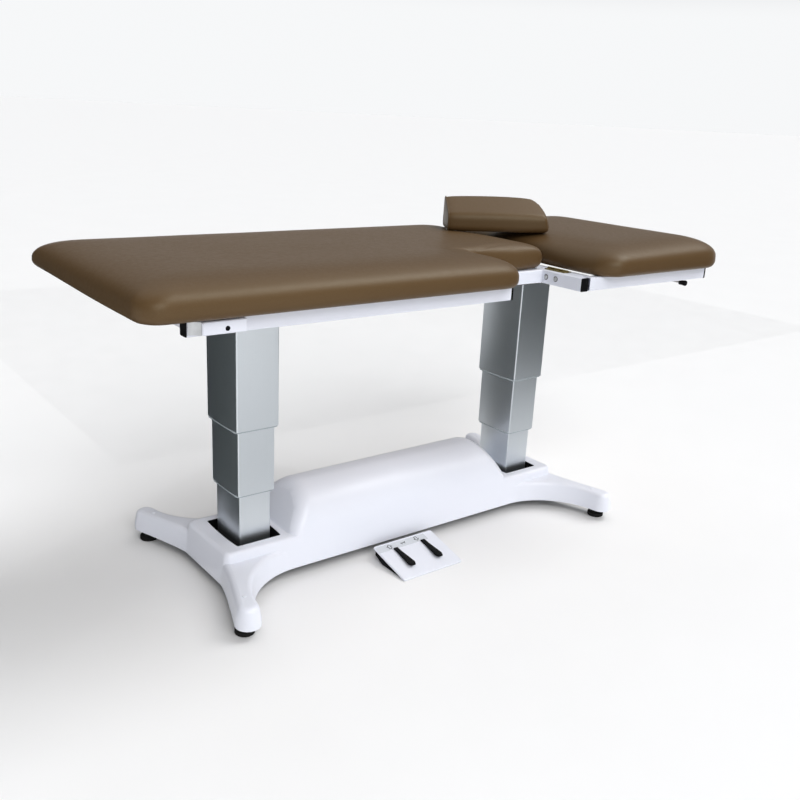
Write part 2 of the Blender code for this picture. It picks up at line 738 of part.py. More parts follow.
def levellers():
    for name in FEET:
        x, y = foot_place(name)
        bevel = FOOT_PAD / 6
        profile = [
            (FOOT_RADIUS - bevel, 0),
            (FOOT_RADIUS, bevel),
            (FOOT_RADIUS, FOOT_PAD),
            (FOOT_COLLAR_RADIUS, FOOT_CONE_TOP),
            (FOOT_COLLAR_RADIUS, CHASSIS_BOTTOM - FIT),
            (FOOT_STEM_RADIUS, CHASSIS_BOTTOM - FIT),
            (FOOT_STEM_RADIUS, FOOT_STEM_TOP),
        ]
        axis = make_axis(f"leveller_{name}_axis", (x, y, 0))
        bm = bmesh.new()
        turned(bm, "Z", (x, y, 0), profile, 16)
        make_object(f"leveller_{name}", bm, RUBBER, axis)


def electrics():
    outline = rounded_rect(CONTROL_LENGTH, CONTROL_WIDTH, CONTROL_ROUND)
    bm = bmesh.new()
    loft(bm, [on_base(outline, STAGE_FLOOR), on_base(outline, STAGE_FLOOR + CONTROL_HEIGHT)])
    make_object("control_box", bm, BLACK)
    bm = bmesh.new()
    half_x = INLET_WIDTH / 2
    half_z = INLET_HEIGHT / 2
    box(bm, (-half_x, -INLET_DEPTH, -half_z), (half_x, FIT + INLET_FLANGE_THICKNESS / 2, half_z))
    bm.transform(inlet_frame())
    inlet = make_object("mains_inlet", bm, BLACK)
    bm = bmesh.new()
    wide = half_x + INLET_FLANGE
    tall = half_z + INLET_FLANGE
    box(bm, (-wide, FIT, -tall), (wide, FIT + INLET_FLANGE_THICKNESS, tall))
    bm.transform(inlet_frame())
    boolean(inlet, make_tool("inlet_flange", bm), "UNION")
    bm = bmesh.new()
    half_x -= INLET_WALL
    half_z -= INLET_WALL
    box(bm, (-half_x, -INLET_SOCKET_DEPTH, -half_z), (half_x, INLET_SOCKET_DEPTH, half_z))
    bm.transform(inlet_frame())
    boolean(inlet, make_tool("inlet_socket", bm), "DIFFERENCE")


# Top frame

def rail_section(shrink):
    corner = max(RAIL_CORNER - shrink, RAIL_WALL / 2)
    return rounded_rect(RAIL_WIDTH - 2 * shrink, RAIL_HEIGHT - 2 * shrink, corner)


def rail(name, axis, centre, w0, w1, parent):
    """Rectangular tube, RAIL_WIDTH wide and RAIL_HEIGHT high, running along X or Y."""
    bm = bmesh.new()
    rail_loops(bm, axis, centre, w0, w1)
    return make_object(name, bm, WHITE, parent)


def rail_points(axis, outline, centre, w):
    if axis == "Y":
        outline = [(v, u) for u, v in reversed(outline)]
    return along(axis, lifted(outline, w), centre)


def rail_loops(bm, axis, centre, w0, w1):
    outer = rail_section(0)
    inner = rail_section(RAIL_WALL)
    loops = [(outer, w0), (outer, w1), (inner, w1), (inner, w0)]
    loft(bm, [rail_points(axis, outline, centre, w) for outline, w in loops], closed=True)


def rail_cap(name, axis, centre, w, outwards, parent):
    """Black end cap: a face plate with a plug inside the tube."""
    plug = rail_section(RAIL_WALL + FIT)
    face = rail_section(0)
    steps = [
        (plug, -CAP_PLUG),
        (plug, FIT),
        (face, FIT),
        (face, CAP_THICKNESS - RAIL_CORNER / 4),
        (rail_section(RAIL_CORNER / 4), CAP_THICKNESS),
    ]
    bm = bmesh.new()
    loft(bm, [rail_points(axis, outline, centre, w + outwards * step) for outline, step in steps])
    make_object(name, bm, BLACK, parent)


def main_frame():
    cap_room = CAP_THICKNESS + FIT
    hinge_face = HINGE_TUBE_X - RAIL_WIDTH / 2 - FIT
    front = (0, -RAIL_Y, RAIL_Z)
    back = (0, RAIL_Y, RAIL_Z)
    cross = (HINGE_TUBE_X, 0, RAIL_Z)
    foot_tube_end = RAIL_FOOT_END + cap_room
    rail("front_rail", "X", front, foot_tube_end, RAIL_CUTOUT_END - cap_room, LIFT)
    rail_cap("front_rail_cap_foot", "X", front, foot_tube_end, -1, LIFT)
    rail_cap("front_rail_cap_head", "X", front, RAIL_CUTOUT_END - cap_room, 1, LIFT)
    rail("back_rail", "X", back, foot_tube_end, hinge_face, LIFT)
    rail_cap("back_rail_cap_foot", "X", back, foot_tube_end, -1, LIFT)
    foot_face = FOOT_CROSS_X + RAIL_WIDTH / 2 + FIT
    for name, side in (("front", -1), ("back", 1)):
        rail(f"inner_rail_{name}", "X", (0, side * INNER_RAIL_Y, RAIL_Z), foot_face, hinge_face, LIFT)
        rail_cap(f"hinge_tube_cap_{name}", "Y", cross, side * (FRAME_HALF - cap_room), side, LIFT)
    rail_side = RAIL_Y - RAIL_WIDTH / 2 - FIT
    rail("foot_cross_tube", "Y", (FOOT_CROSS_X, 0, RAIL_Z), -rail_side, rail_side, LIFT)
    rail("hinge_cross_tube", "Y", cross, cap_room - FRAME_HALF, FRAME_HALF - cap_room, LIFT)
    stub_x = RAIL_CUTOUT_END - STUB_SETBACK - RAIL_WIDTH / 2
    inner_side = -INNER_RAIL_Y - RAIL_WIDTH / 2 - FIT
    rail("front_stub_tube", "Y", (stub_x, 0, RAIL_Z), -rail_side, inner_side, LIFT)


def accessory_bracket():
    """Clamp block for side accessories, on the front rail near the foot end."""
    x = RAIL_FOOT_END + BRACKET_SETBACK + BRACKET_LENGTH / 2
    y = -FRAME_HALF - FIT
    outline = rounded_rect(BRACKET_LENGTH, BRACKET_HEIGHT, 2 * BRACKET_ROUND)
    steps = [(0, 0), (0, BRACKET_DEPTH - BRACKET_ROUND), (BRACKET_ROUND, BRACKET_DEPTH)]
    loops = []
    for inset, depth in steps:
        loop = offset_loop(outline, -inset)
        loops.append([(x + u, y - depth, RAIL_Z + v) for u, v in loop])
    bm = bmesh.new()
    loft(bm, loops)
    make_object("accessory_bracket", bm, WHITE, LIFT)


# Head section

def head_frame():
    start = PIVOT_X + HINGE_GAP / 2
    end = RAIL_HEAD_END - CAP_THICKNESS - FIT
    for name, side in (("front", -1), ("back", 1)):
        centre = (0, side * RAIL_Y, RAIL_Z)
        rail(f"head_rail_{name}", "X", centre, start, end, HEAD)
        rail_cap(f"head_rail_cap_{name}", "X", centre, end, 1, HEAD)
    rail_side = RAIL_Y - RAIL_WIDTH / 2 - FIT
    hinge_tube = rail("head_hinge_tube", "Y", (HEAD_TUBE_X, 0, RAIL_Z), -rail_side, rail_side, HEAD)
    boolean(hinge_tube, strut_arm(), "UNION")
    end_tube = rail("head_end_tube", "Y", (END_TUBE_X, 0, RAIL_Z), -rail_side, rail_side, HEAD)
    bm = bmesh.new()
    pin_bottom = FRAME_BOTTOM - LEVER_DROP - LEVER_HUB_HEIGHT / 2 - STOP_GAP
    pin_top = FRAME_BOTTOM + RAIL_WALL / 2
    cylinder(bm, "Z", (END_TUBE_X, -LEVER_Y, 0), LEVER_PIN_RADIUS, pin_bottom, pin_top, 14)
    boolean(end_tube, make_tool("lever_pin", bm, HEAD), "UNION")


def knuckle_spans(own):
    """Stretches of the hinge's length that belong to the fixed (0) or the moving (1) leaf."""
    step = HINGE_LENGTH / KNUCKLE_COUNT
    spans = []
    for i in range(own, KNUCKLE_COUNT, 2):
        low = i * step + (FIT if i else 0)
        high = (i + 1) * step - (FIT if i < KNUCKLE_COUNT - 1 else 0)
        spans.append((low - HINGE_LENGTH / 2, high - HINGE_LENGTH / 2))
    return spans


def hinge_half(name, y, own, parent):
    """One leaf of a butt hinge with its knuckles; own 0 is fixed with the pin, 1 turns on it."""
    side = 1 if own else -1
    edge = KNUCKLE_RADIUS + LEAF_EDGE_GAP
    bottom = PIVOT_Z - KNUCKLE_RADIUS
    xs = sorted((PIVOT_X + side * edge, PIVOT_X + side * (edge + LEAF_WIDTH)))
    bm = bmesh.new()
    low = (xs[0], y - HINGE_LENGTH / 2, bottom)
    box(bm, low, (xs[1], y + HINGE_LENGTH / 2, bottom + LEAF_THICKNESS))
    leaf = make_object(name, bm, BRASS, parent)
    barrel = arc((0, 0), KNUCKLE_RADIUS, -math.pi / 2, KNUCKLE_WRAP, 10)
    root = -edge - LEAF_EDGE_GAP
    shape = barrel + [(root, LEAF_THICKNESS - KNUCKLE_RADIUS), (root, -KNUCKLE_RADIUS)]
    bm = bmesh.new()
    for span in knuckle_spans(own):
        loft(bm, [[(PIVOT_X - side * u, y + w, PIVOT_Z + v) for u, v in shape] for w in span])
    boolean(leaf, make_tool(f"{name}_knuckles", bm, parent), "UNION")
    bm = bmesh.new()
    centre = (PIVOT_X, y, PIVOT_Z)
    if own:
        cylinder(bm, "Y", centre, HINGE_PIN_RADIUS + RUN, -HINGE_LENGTH, HINGE_LENGTH, 12)
        boolean(leaf, make_tool(f"{name}_bore", bm, parent), "DIFFERENCE")
    else:
        inside = HINGE_LENGTH / 2 - FIT
        cylinder(bm, "Y", centre, HINGE_PIN_RADIUS, -inside, inside, 12)
        boolean(leaf, make_tool(f"{name}_pin", bm, parent), "UNION")


def hinges():
    for name, side in (("front", -1), ("back", 1)):
        hinge_half(f"hinge_leaf_{name}", side * HINGE_Y, 0, LIFT)
        hinge_half(f"hinge_flap_{name}", side * HINGE_Y, 1, HEAD)


# Gas strut: the arm's pin swings evenly about straight down, and the rod's eye has a tall slot for it.
STRUT_Y = INNER_RAIL_Y + STRUT_PLATE / 2
STRUT_SAG = STRUT_ARM * (1 - math.cos(HEAD_TILT / 2))
STRUT_Z = PIVOT_Z - STRUT_ARM + STRUT_SAG / 2
STRUT_PIN_X = PIVOT_X - STRUT_ARM * math.sin(HEAD_TILT / 2)
STRUT_PIN_Z = PIVOT_Z - STRUT_ARM * math.cos(HEAD_TILT / 2)
STRUT_STROKE = 2 * STRUT_ARM * math.sin(HEAD_TILT / 2)
STRUT_EYE_HALF = STRUT_PIN_RADIUS + STRUT_SIDE_PLAY + STRUT_EYE_WALL
STRUT_SLOT_HALF = STRUT_PIN_RADIUS + STRUT_SAG / 2 + STRUT_SIDE_PLAY


def strut_arm():
    """Lug under the head section's hinge tube, with the pin that the strut's eye holds."""
    root = FRAME_BOTTOM + RAIL_WALL / 2
    left = HEAD_TUBE_X - RAIL_WIDTH / 2 + RAIL_CORNER
    right = HEAD_TUBE_X + RAIL_WIDTH / 2 - RAIL_CORNER
    waist = (root + STRUT_PIN_Z) / 2
    boss = arc((STRUT_PIN_X, STRUT_PIN_Z), STRUT_BOSS_RADIUS, math.pi / 2, math.pi * 3 / 2, 8)
    shape = [(left, root), (left, waist)] + boss + [(right, waist - STRUT_BOSS_RADIUS), (right, root)]
    plate_y = STRUT_Y + max(STRUT_PLATE / 2, STRUT_ROD_RADIUS) + RUN
    bm = bmesh.new()
    loft(bm, [[(x, y, z) for x, z in shape] for y in (plate_y, plate_y + STRUT_PLATE)])
    arm = make_tool("strut_arm", bm, HEAD)
    pin = bmesh.new()
    cylinder(pin, "Y", (STRUT_PIN_X, 0, STRUT_PIN_Z), STRUT_PIN_RADIUS,
             STRUT_Y - STRUT_PLATE / 2 - RUN, plate_y + STRUT_PLATE / 2, 14)
    boolean(arm, make_tool("strut_arm_pin", pin, HEAD), "UNION")
    return arm


def gas_strut():
    eye_low = STRUT_PIN_X - STRUT_EYE_HALF
    rod_start = eye_low - STRUT_ROD_LENGTH
    axis = make_axis("strut_axis", (STRUT_PIN_X, STRUT_Y, STRUT_Z))
    axis.parent = LIFT
    axis.matrix_parent_inverse = Matrix.Translation(-LIFT.location)
    tall = STRUT_SLOT_HALF + STRUT_EYE_WALL
    outline = rounded_rect(2 * STRUT_EYE_HALF, 2 * tall, STRUT_EYE_WALL)
    ys = (STRUT_Y - STRUT_PLATE / 2, STRUT_Y + STRUT_PLATE / 2)
    bm = bmesh.new()
    loft(bm, [[(STRUT_PIN_X + u, y, STRUT_Z + v) for u, v in outline] for y in ys])
    rod = make_object("strut_rod", bm, STEEL, axis)
    bm = bmesh.new()
    rod_end = eye_low + STRUT_EYE_WALL / 2
    cylinder(bm, "X", (0, STRUT_Y, STRUT_Z), STRUT_ROD_RADIUS, rod_start, rod_end, 14)
    boolean(rod, make_tool("strut_rod_shaft", bm, axis), "UNION")
    slot_half = STRUT_PIN_RADIUS + STRUT_SIDE_PLAY
    slot = rounded_rect(2 * slot_half, 2 * STRUT_SLOT_HALF, STRUT_PIN_RADIUS)
    bm = bmesh.new()
    deep = (STRUT_Y - STRUT_PLATE * 2, STRUT_Y + STRUT_PLATE * 2)
    loft(bm, [[(STRUT_PIN_X + u, y, STRUT_Z + v) for u, v in slot] for y in deep])
    boolean(rod, make_tool("strut_rod_slot", bm, axis), "DIFFERENCE")
    mouth = eye_low - STRUT_ROD_LENGTH / 2 + STRUT_STROKE / 4
    closed_end = mouth - STRUT_TUBE_LENGTH
    bore = STRUT_ROD_RADIUS + RUN
    profile = [
        (STRUT_TUBE_RADIUS, closed_end),
        (STRUT_TUBE_RADIUS, mouth),
        (bore, mouth),
        (bore, rod_start - STOP_GAP),
    ]
    bm = bmesh.new()
    turned(bm, "X", (0, STRUT_Y, STRUT_Z), profile, 18)
    tube = make_object("strut_cylinder", bm, DARK_STEEL, LIFT)
    bm = bmesh.new()
    for x in (closed_end + STRUT_TUBE_RADIUS, mouth - 2 * STRUT_TUBE_RADIUS):
        low = (x, STRUT_Y - STRUT_PLATE, STRUT_Z + STRUT_ROD_RADIUS + STRUT_PLATE / 2)
        box(bm, low, (x + STRUT_TUBE_RADIUS, STRUT_Y + STRUT_PLATE, FRAME_BOTTOM - FIT))
    boolean(tube, make_tool("strut_brackets", bm, LIFT), "UNION")


def release_lever():
    axis = make_axis("lever_axis", (END_TUBE_X, -LEVER_Y, FRAME_BOTTOM - LEVER_DROP))
    axis.parent = HEAD
    axis.matrix_parent_inverse = Matrix.Translation(-HEAD.location)
    z = FRAME_BOTTOM - LEVER_DROP
    centre = (END_TUBE_X, -LEVER_Y, z)
    half = LEVER_HUB_HEIGHT / 2
    bore = LEVER_PIN_RADIUS + RUN
    profile = [(LEVER_HUB_RADIUS, -half), (LEVER_HUB_RADIUS, half), (bore, half), (bore, -half)]
    bm = bmesh.new()
    turned(bm, "Z", centre, profile, 18, hollow=True)
    lever = make_object("release_lever", bm, STEEL, axis)
    edge = LEVER_KNOB_RADIUS / 4
    start = -(LEVER_HUB_RADIUS + bore) / 2
    rod_end = -LEVER_REACH
    knob_end = rod_end - LEVER_KNOB_LENGTH
    profile = [
        (LEVER_ROD_RADIUS, start),
        (LEVER_ROD_RADIUS, rod_end),
        (LEVER_KNOB_RADIUS, rod_end),
        (LEVER_KNOB_RADIUS, knob_end + edge),
        (LEVER_KNOB_RADIUS - edge, knob_end),
    ]
    bm = bmesh.new()
    turned(bm, "Y", centre, profile, 14)
    boolean(lever, make_tool("lever_rod", bm, axis), "UNION")


# Cushions

def dome_height(inset):
    """Height of a cushion's soft upper side above its widest line, that far in from its edge."""
    left = 1 - min(inset / DOME_REACH, 1)
    rise = CUSHION_THICKNESS - CUSHION_BOTTOM_ROUND
    return rise * (1 - left ** DOME_FULLNESS) ** (1 / DOME_FULLNESS)


def cushion(name, corners, rim_corners, axis, climb=0.0):
    """Upholstered pad: rounded sides, domed top, recess for its board; climb lifts the top's head end."""
    outline = drawn_in(rounded_polygon(corners, 6, 3), corners)
    rim = rounded_polygon(rim_corners, 6, 3)
    recess = BOARD_INSET - FIT
    steps = [(recess, BOARD_THICKNESS + FIT), (recess, 0)]
    low_round = quarter_round(0, 0, CUSHION_BOTTOM_ROUND, 4)
    steps += [(inset, CUSHION_BOTTOM_ROUND - z) for inset, z in reversed(low_round)]
    loops = [lifted(offset_loop(outline, -inset), CUSHION_BOTTOM + z) for inset, z in steps]
    widest = CUSHION_BOTTOM + CUSHION_BOTTOM_ROUND
    for i in range(1, EDGE_STEPS + 1):
        share = 1 - math.cos(math.pi / 2 * i / EDGE_STEPS)
        loop = [Vector(a).lerp(Vector(b), share) for a, b in zip(outline, rim)]
        loops.append(lifted(loop, widest + dome_height(share * CUSHION_EDGE)))
    bm = bmesh.new()
    loft(bm, loops)
    dome_top(bm, rim)
    low_x = min(x for x, y in outline)
    high_x = max(x for x, y in outline)
    for vert in bm.verts:
        height = (vert.co.z - CUSHION_BOTTOM - BOARD_THICKNESS - FIT) / CUSHION_THICKNESS
        vert.co.z += climb * max(height, 0) * (vert.co.x - low_x) / (high_x - low_x)
    make_object(name, bm, LEATHERETTE, axis)


def drawn_in(outline, corners):
    """Pull the long straight sides in a little between the corners."""
    low_x = min(x for x, y, r in corners)
    high_x = max(x for x, y, r in corners)
    pulled = []
    for x, y in outline:
        along_side = (x - low_x) / (high_x - low_x)
        if abs(y) > HALF_WIDTH - CUSHION_DRAW_IN:
            y -= math.copysign(CUSHION_DRAW_IN * math.sin(math.pi * along_side), y)
        pulled.append((x, y))
    return pulled


def edge_distance(point, outline):
    nearest = TOP_LENGTH
    for a, b in zip(outline, outline[1:] + outline[:1]):
        start = Vector(a)
        run = Vector(b) - start
        t = (point - start).dot(run) / run.length_squared
        nearest = min(nearest, (point - start - run * min(max(t, 0), 1)).length)
    return nearest


def dome_top(bm, rim):
    """Cut a grid into the flat top and raise it towards the middle."""
    flat = CUSHION_BOTTOM + CUSHION_BOTTOM_ROUND + dome_height(CUSHION_EDGE)
    low_x = min(x for x, y in rim)
    high_x = max(x for x, y in rim)
    planes = [((x, 0, 0), (1, 0, 0)) for x in stations(low_x, high_x)]
    planes += [((0, y, 0), (0, 1, 0)) for y in stations(-HALF_WIDTH, HALF_WIDTH)]
    for point, normal in planes:
        faces = [f for f in bm.faces if min(v.co.z for v in f.verts) > flat - FIT]
        edges = list({e for f in faces for e in f.edges})
        verts = list({v for f in faces for v in f.verts})
        bmesh.ops.bisect_plane(bm, geom=verts + edges + faces, plane_co=point, plane_no=normal)
    for vert in bm.verts:
        if vert.co.z > flat - FIT:
            inset = CUSHION_EDGE + edge_distance(vert.co.xy, rim)
            vert.co.z += dome_height(inset) - dome_height(CUSHION_EDGE)


def stations(low, high):
    count = max(3, round((high - low) / DOME_GRID))
    return [low + (high - low) * i / count for i in range(1, count)]


def board(name, corners, axis):
    outline = offset_loop(drawn_in(rounded_polygon(corners, 6, 3), corners), -BOARD_INSET)
    bm = bmesh.new()
    prism(bm, outline, CUSHION_BOTTOM, CUSHION_BOTTOM + BOARD_THICKNESS)
    make_object(name, bm, PLYWOOD, axis)


def cushions():
    soft = CUSHION_CORNER
    main_corners = [
        (FOOT_END, -HALF_WIDTH, soft),
        (CUTOUT_START, -HALF_WIDTH, soft),
        (CUTOUT_START, CUTOUT_FACE, CUTOUT_CORNER),
        (MAIN_END, CUTOUT_FACE, NARROW_CORNER),
        (MAIN_END, HALF_WIDTH, soft),
        (FOOT_END, HALF_WIDTH, soft),
    ]
    edge = CUSHION_EDGE
    rim = CUSHION_RIM_CORNER
    main_rim = [
        (FOOT_END + edge, -HALF_WIDTH + edge, rim),
        (CUTOUT_START - edge, -HALF_WIDTH + edge, rim),
        (CUTOUT_START - edge, CUTOUT_FACE + CUSHION_INNER_EDGE, CUTOUT_CORNER),
        (MAIN_END - edge, CUTOUT_FACE + edge, rim),
        (MAIN_END - edge, HALF_WIDTH - edge, rim),
        (FOOT_END + edge, HALF_WIDTH - edge, rim),
    ]
    head_corners = [
        (HEAD_START, -HALF_WIDTH, soft),
        (HEAD_END, -HALF_WIDTH, HEAD_CORNER),
        (HEAD_END, HALF_WIDTH, HEAD_CORNER),
        (HEAD_START, HALF_WIDTH, soft),
    ]
    head_rim = [
        (HEAD_START + edge, -HALF_WIDTH + edge, rim),
        (HEAD_END - edge, -HALF_WIDTH + edge, rim),
        (HEAD_END - edge, HALF_WIDTH - edge, rim),
        (HEAD_START + edge, HALF_WIDTH - edge, rim),
    ]
    cushion("main_cushion", main_corners, main_rim, LIFT)
    board("main_board", main_corners, LIFT)
    cushion("head_cushion", head_corners, head_rim, HEAD, HEAD_RISE)
    board("head_board", head_corners, HEAD)


def end_setback(s, z):
    """How far the pillow's head-side end leans back from its length, at height z."""
    fade = min(max(2 * s / PILLOW_LENGTH - 1, 0), 1) ** 2
    into = min(max(z - PILLOW_BACK_HEIGHT + PILLOW_END_CORNER, 0), PILLOW_END_CORNER)
    corner = PILLOW_END_CORNER - math.sqrt(PILLOW_END_CORNER ** 2 - into ** 2)
    return fade * (PILLOW_END_LEAN * z + corner)


def pillow():
    """Wedge bolster lying across the joint of the two cushions, its end panels slightly domed."""
    corners = [
        (0, 0, PILLOW_ROUND),
        (PILLOW_DEPTH, 0, PILLOW_ROUND),
        (PILLOW_DEPTH - PILLOW_BACK_SLOPE, PILLOW_BACK_HEIGHT, PILLOW_ROUND),
        (0, PILLOW_FRONT_HEIGHT, PILLOW_NOSE),
    ]
    section = rounded_polygon(corners, 5, 2)
    rest = CUSHION_TOP + FIT - PILLOW_SINK
    turn = Matrix.Rotation(-PILLOW_TILT, 4, "Y") @ Matrix.Rotation(PILLOW_TURN, 4, "Z")
    place = Matrix.Translation((PILLOW_X, PILLOW_Y, rest)) @ turn
    steps = [(0, PILLOW_END_ROUND), (PILLOW_END_ROUND, 0)]
    for i in range(1, PILLOW_STEPS):
        share = i / PILLOW_STEPS
        steps.append((PILLOW_LENGTH * share, -PILLOW_SWELL * math.sin(math.pi * share)))
    steps += [(PILLOW_LENGTH - PILLOW_END_ROUND, 0), (PILLOW_LENGTH, PILLOW_END_ROUND)]
    bm = bmesh.new()
    loops = []
    for s, inset in steps:
        loop = offset_loop(section, -inset)
        loops.append([place @ Vector((s - end_setback(s, z), depth, max(z, 0))) for depth, z in loop])
    loft(bm, loops)
    hinge_x = min(v.co.x for v in bm.verts)
    axis = make_axis("pillow_axis", (hinge_x, PILLOW_Y, rest))
    axis.parent = LIFT
    axis.matrix_parent_inverse = Matrix.Translation(-LIFT.location)
    make_object("pillow", bm, LEATHERETTE, axis)


# Foot switch, built in the sloped plate's own frame: u across, v up the slope, w out of the plate
SWITCH_FRAME = Matrix.Translation((SWITCH_X, SWITCH_FRONT, SWITCH_FRONT_HEIGHT))
SWITCH_FRAME = SWITCH_FRAME @ Matrix.Rotation(SWITCH_SLOPE, 4, "X")
PEDAL_AXLE_V = SWITCH_LENGTH - PEDAL_BACK
PEDALS = {"up": SWITCH_X - PEDAL_SPACING / 2, "down": SWITCH_X + PEDAL_SPACING / 2}


def on_switch(points):
    return [SWITCH_FRAME @ Vector(point) for point in points]


def neck_room(pedal_x):
    """Corners of the room that a pedal's neck and hub need in plate and base."""
    half = PEDAL_NECK / 2 + RUN
    u = pedal_x - SWITCH_X
    reach = PEDAL_HUB_RADIUS + PEDAL_SLOT_GAP
    return (u - half, PEDAL_AXLE_V - reach), (u + half, PEDAL_AXLE_V + reach)


def footswitch_housing():
    half = SWITCH_WIDTH / 2
    corners = [
        (-half, 0, SWITCH_CORNER),
        (half, 0, SWITCH_CORNER),
        (half, SWITCH_LENGTH, SWITCH_CORNER),
        (-half, SWITCH_LENGTH, SWITCH_CORNER),
    ]
    outline = rounded_polygon(corners, 3)
    bevel = SWITCH_PLATE / 4
    steps = [(0, -SWITCH_PLATE), (0, -bevel), (bevel, 0)]
    bm = bmesh.new()
    loft(bm, [on_switch(lifted(offset_loop(outline, -inset), w)) for inset, w in steps])
    plate = make_object("footswitch_plate", bm, MOULDED)
    cut = bmesh.new()
    for x in PEDALS.values():
        low, high = neck_room(x)
        box(cut, (*low, -PEDAL_AXLE_DEPTH), (*high, PEDAL_AXLE_DEPTH))
    cut.transform(SWITCH_FRAME)
    boolean(plate, make_tool("plate_slots", cut), "DIFFERENCE")

    under = -SWITCH_PLATE - FIT
    front = SWITCH_FRAME @ Vector((0, -under / math.tan(SWITCH_SLOPE), under))
    back = SWITCH_FRAME @ Vector((0, SWITCH_LENGTH - SWITCH_SIDE_INSET, under))
    floor_back = SWITCH_FRONT + SWITCH_BACK_FLOOR
    side = [
        (front.y, max(front.z, FIT)),
        (front.y + SWITCH_SIDE_INSET, 0),
        (floor_back, 0),
        (back.y, SWITCH_BACK_UNDERCUT),
        (back.y, back.z),
    ]
    inner = half - SWITCH_SIDE_INSET
    bm = bmesh.new()
    loft(bm, [[(SWITCH_X + u, y, z) for y, z in side] for u in (-inner, inner)])
    base = make_object("footswitch_base", bm, BLACK)
    room = bmesh.new()
    for x in PEDALS.values():
        low, high = neck_room(x)
        box(room, (*low, -PEDAL_AXLE_DEPTH - PEDAL_HUB_RADIUS - RUN), (*high, PEDAL_AXLE_DEPTH))
    room.transform(SWITCH_FRAME)
    boolean(base, make_tool("pedal_room", room), "DIFFERENCE")
    reach = PEDAL_SPACING / 2 + PEDAL_AXLE_END
    bore = bmesh.new()
    cylinder(bore, "X", axle_centre(), PEDAL_AXLE_RADIUS + FIT, -reach - FIT, SWITCH_WIDTH, 12)
    boolean(base, make_tool("axle_bore", bore), "DIFFERENCE")
    bm = bmesh.new()
    cylinder(bm, "X", axle_centre(), PEDAL_AXLE_RADIUS, -reach, reach, 12)
    make_object("pedal_axle", bm, STEEL)


def axle_centre():
    return tuple(SWITCH_FRAME @ Vector((0, PEDAL_AXLE_V, -PEDAL_AXLE_DEPTH)))


def pedal(name, x):
    """Lever with a foot pad that widens to the front, a neck through the plate and a hub on the axle."""
    u = x - SWITCH_X
    axis = make_axis(f"{name}_axis", (x, *axle_centre()[1:]))
    raise_front = Matrix.Rotation(-PEDAL_TRAVEL, 4, "X")
    hinge = Matrix.Translation((u, PEDAL_AXLE_V, -PEDAL_AXLE_DEPTH))
    frame = SWITCH_FRAME @ hinge @ raise_front
    top = PEDAL_AXLE_DEPTH + STOP_GAP / 2
    back = PEDAL_HUB_RADIUS
    front = back - PEDAL_LENGTH
    pad = [
        (-PEDAL_NARROW / 2, back),
        (-PEDAL_NARROW / 2, back - PEDAL_LENGTH / 4),
        (-PEDAL_WIDE / 2, front + PEDAL_LENGTH / 8),
        (-PEDAL_NARROW / 2, front),
        (PEDAL_NARROW / 2, front),
        (PEDAL_WIDE / 2, front + PEDAL_LENGTH / 8),
        (PEDAL_NARROW / 2, back - PEDAL_LENGTH / 4),
        (PEDAL_NARROW / 2, back),
    ]
    edge = PEDAL_THICKNESS / 4
    steps = [(0, top), (0, top + PEDAL_THICKNESS - edge), (edge, top + PEDAL_THICKNESS)]
    bm = bmesh.new()
    loft(bm, [lifted(offset_loop(pad, -inset), w) for inset, w in steps])
    bm.transform(frame)
    item = make_object(name, bm, BLACK, axis)
    half = PEDAL_NECK / 2
    dome = arc((0, 0), PEDAL_HUB_RADIUS, -math.pi, 0, 10)
    shape = dome + [(PEDAL_HUB_RADIUS, top + edge), (-PEDAL_HUB_RADIUS, top + edge)]
    bm = bmesh.new()
    loft(bm, [[(w, v, z) for v, z in shape] for w in (-half, half)])
    bm.transform(frame)
    boolean(item, make_tool(f"{name}_neck", bm, axis), "UNION")
    bm = bmesh.new()
    cylinder(bm, "X", (0, 0, 0), PEDAL_AXLE_RADIUS + FIT, -PEDAL_NECK, PEDAL_NECK, 12)
    bm.transform(frame)
    boolean(item, make_tool(f"{name}_bore", bm, axis), "DIFFERENCE")


columns()
base_cover()
column_wells()
chassis()
levellers()
electrics()
main_frame()
accessory_bracket()
head_frame()
hinges()
gas_strut()
release_lever()
cushions()
pillow()
footswitch_housing()
for pedal_name, pedal_x in PEDALS.items():
    pedal(f"pedal_{pedal_name}", pedal_x)
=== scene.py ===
"""Looks of the examination couch: upholstery, trim, materials, studio and camera round its frame."""

import json
import math

import bmesh
import bpy
import numpy as np
from mathutils import Matrix
from mathutils import Vector
from mathutils import noise
from mathutils.bvhtree import BVHTree
from mathutils.geometry import delaunay_2d_cdt


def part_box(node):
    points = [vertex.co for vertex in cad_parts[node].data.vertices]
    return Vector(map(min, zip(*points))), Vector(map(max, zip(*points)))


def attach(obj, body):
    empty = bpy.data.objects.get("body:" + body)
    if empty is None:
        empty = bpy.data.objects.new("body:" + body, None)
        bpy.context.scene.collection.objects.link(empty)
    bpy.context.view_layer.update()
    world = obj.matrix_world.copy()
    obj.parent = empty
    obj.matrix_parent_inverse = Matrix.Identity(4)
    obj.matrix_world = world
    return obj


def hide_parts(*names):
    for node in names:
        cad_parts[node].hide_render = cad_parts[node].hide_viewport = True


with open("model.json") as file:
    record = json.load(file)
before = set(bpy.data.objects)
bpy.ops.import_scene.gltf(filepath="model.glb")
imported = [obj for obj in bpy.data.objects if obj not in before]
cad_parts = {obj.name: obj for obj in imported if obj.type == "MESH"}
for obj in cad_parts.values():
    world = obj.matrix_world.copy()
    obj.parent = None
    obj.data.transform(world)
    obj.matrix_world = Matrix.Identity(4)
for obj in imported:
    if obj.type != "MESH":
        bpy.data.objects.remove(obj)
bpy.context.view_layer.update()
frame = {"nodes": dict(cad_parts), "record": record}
nodes = frame["nodes"]

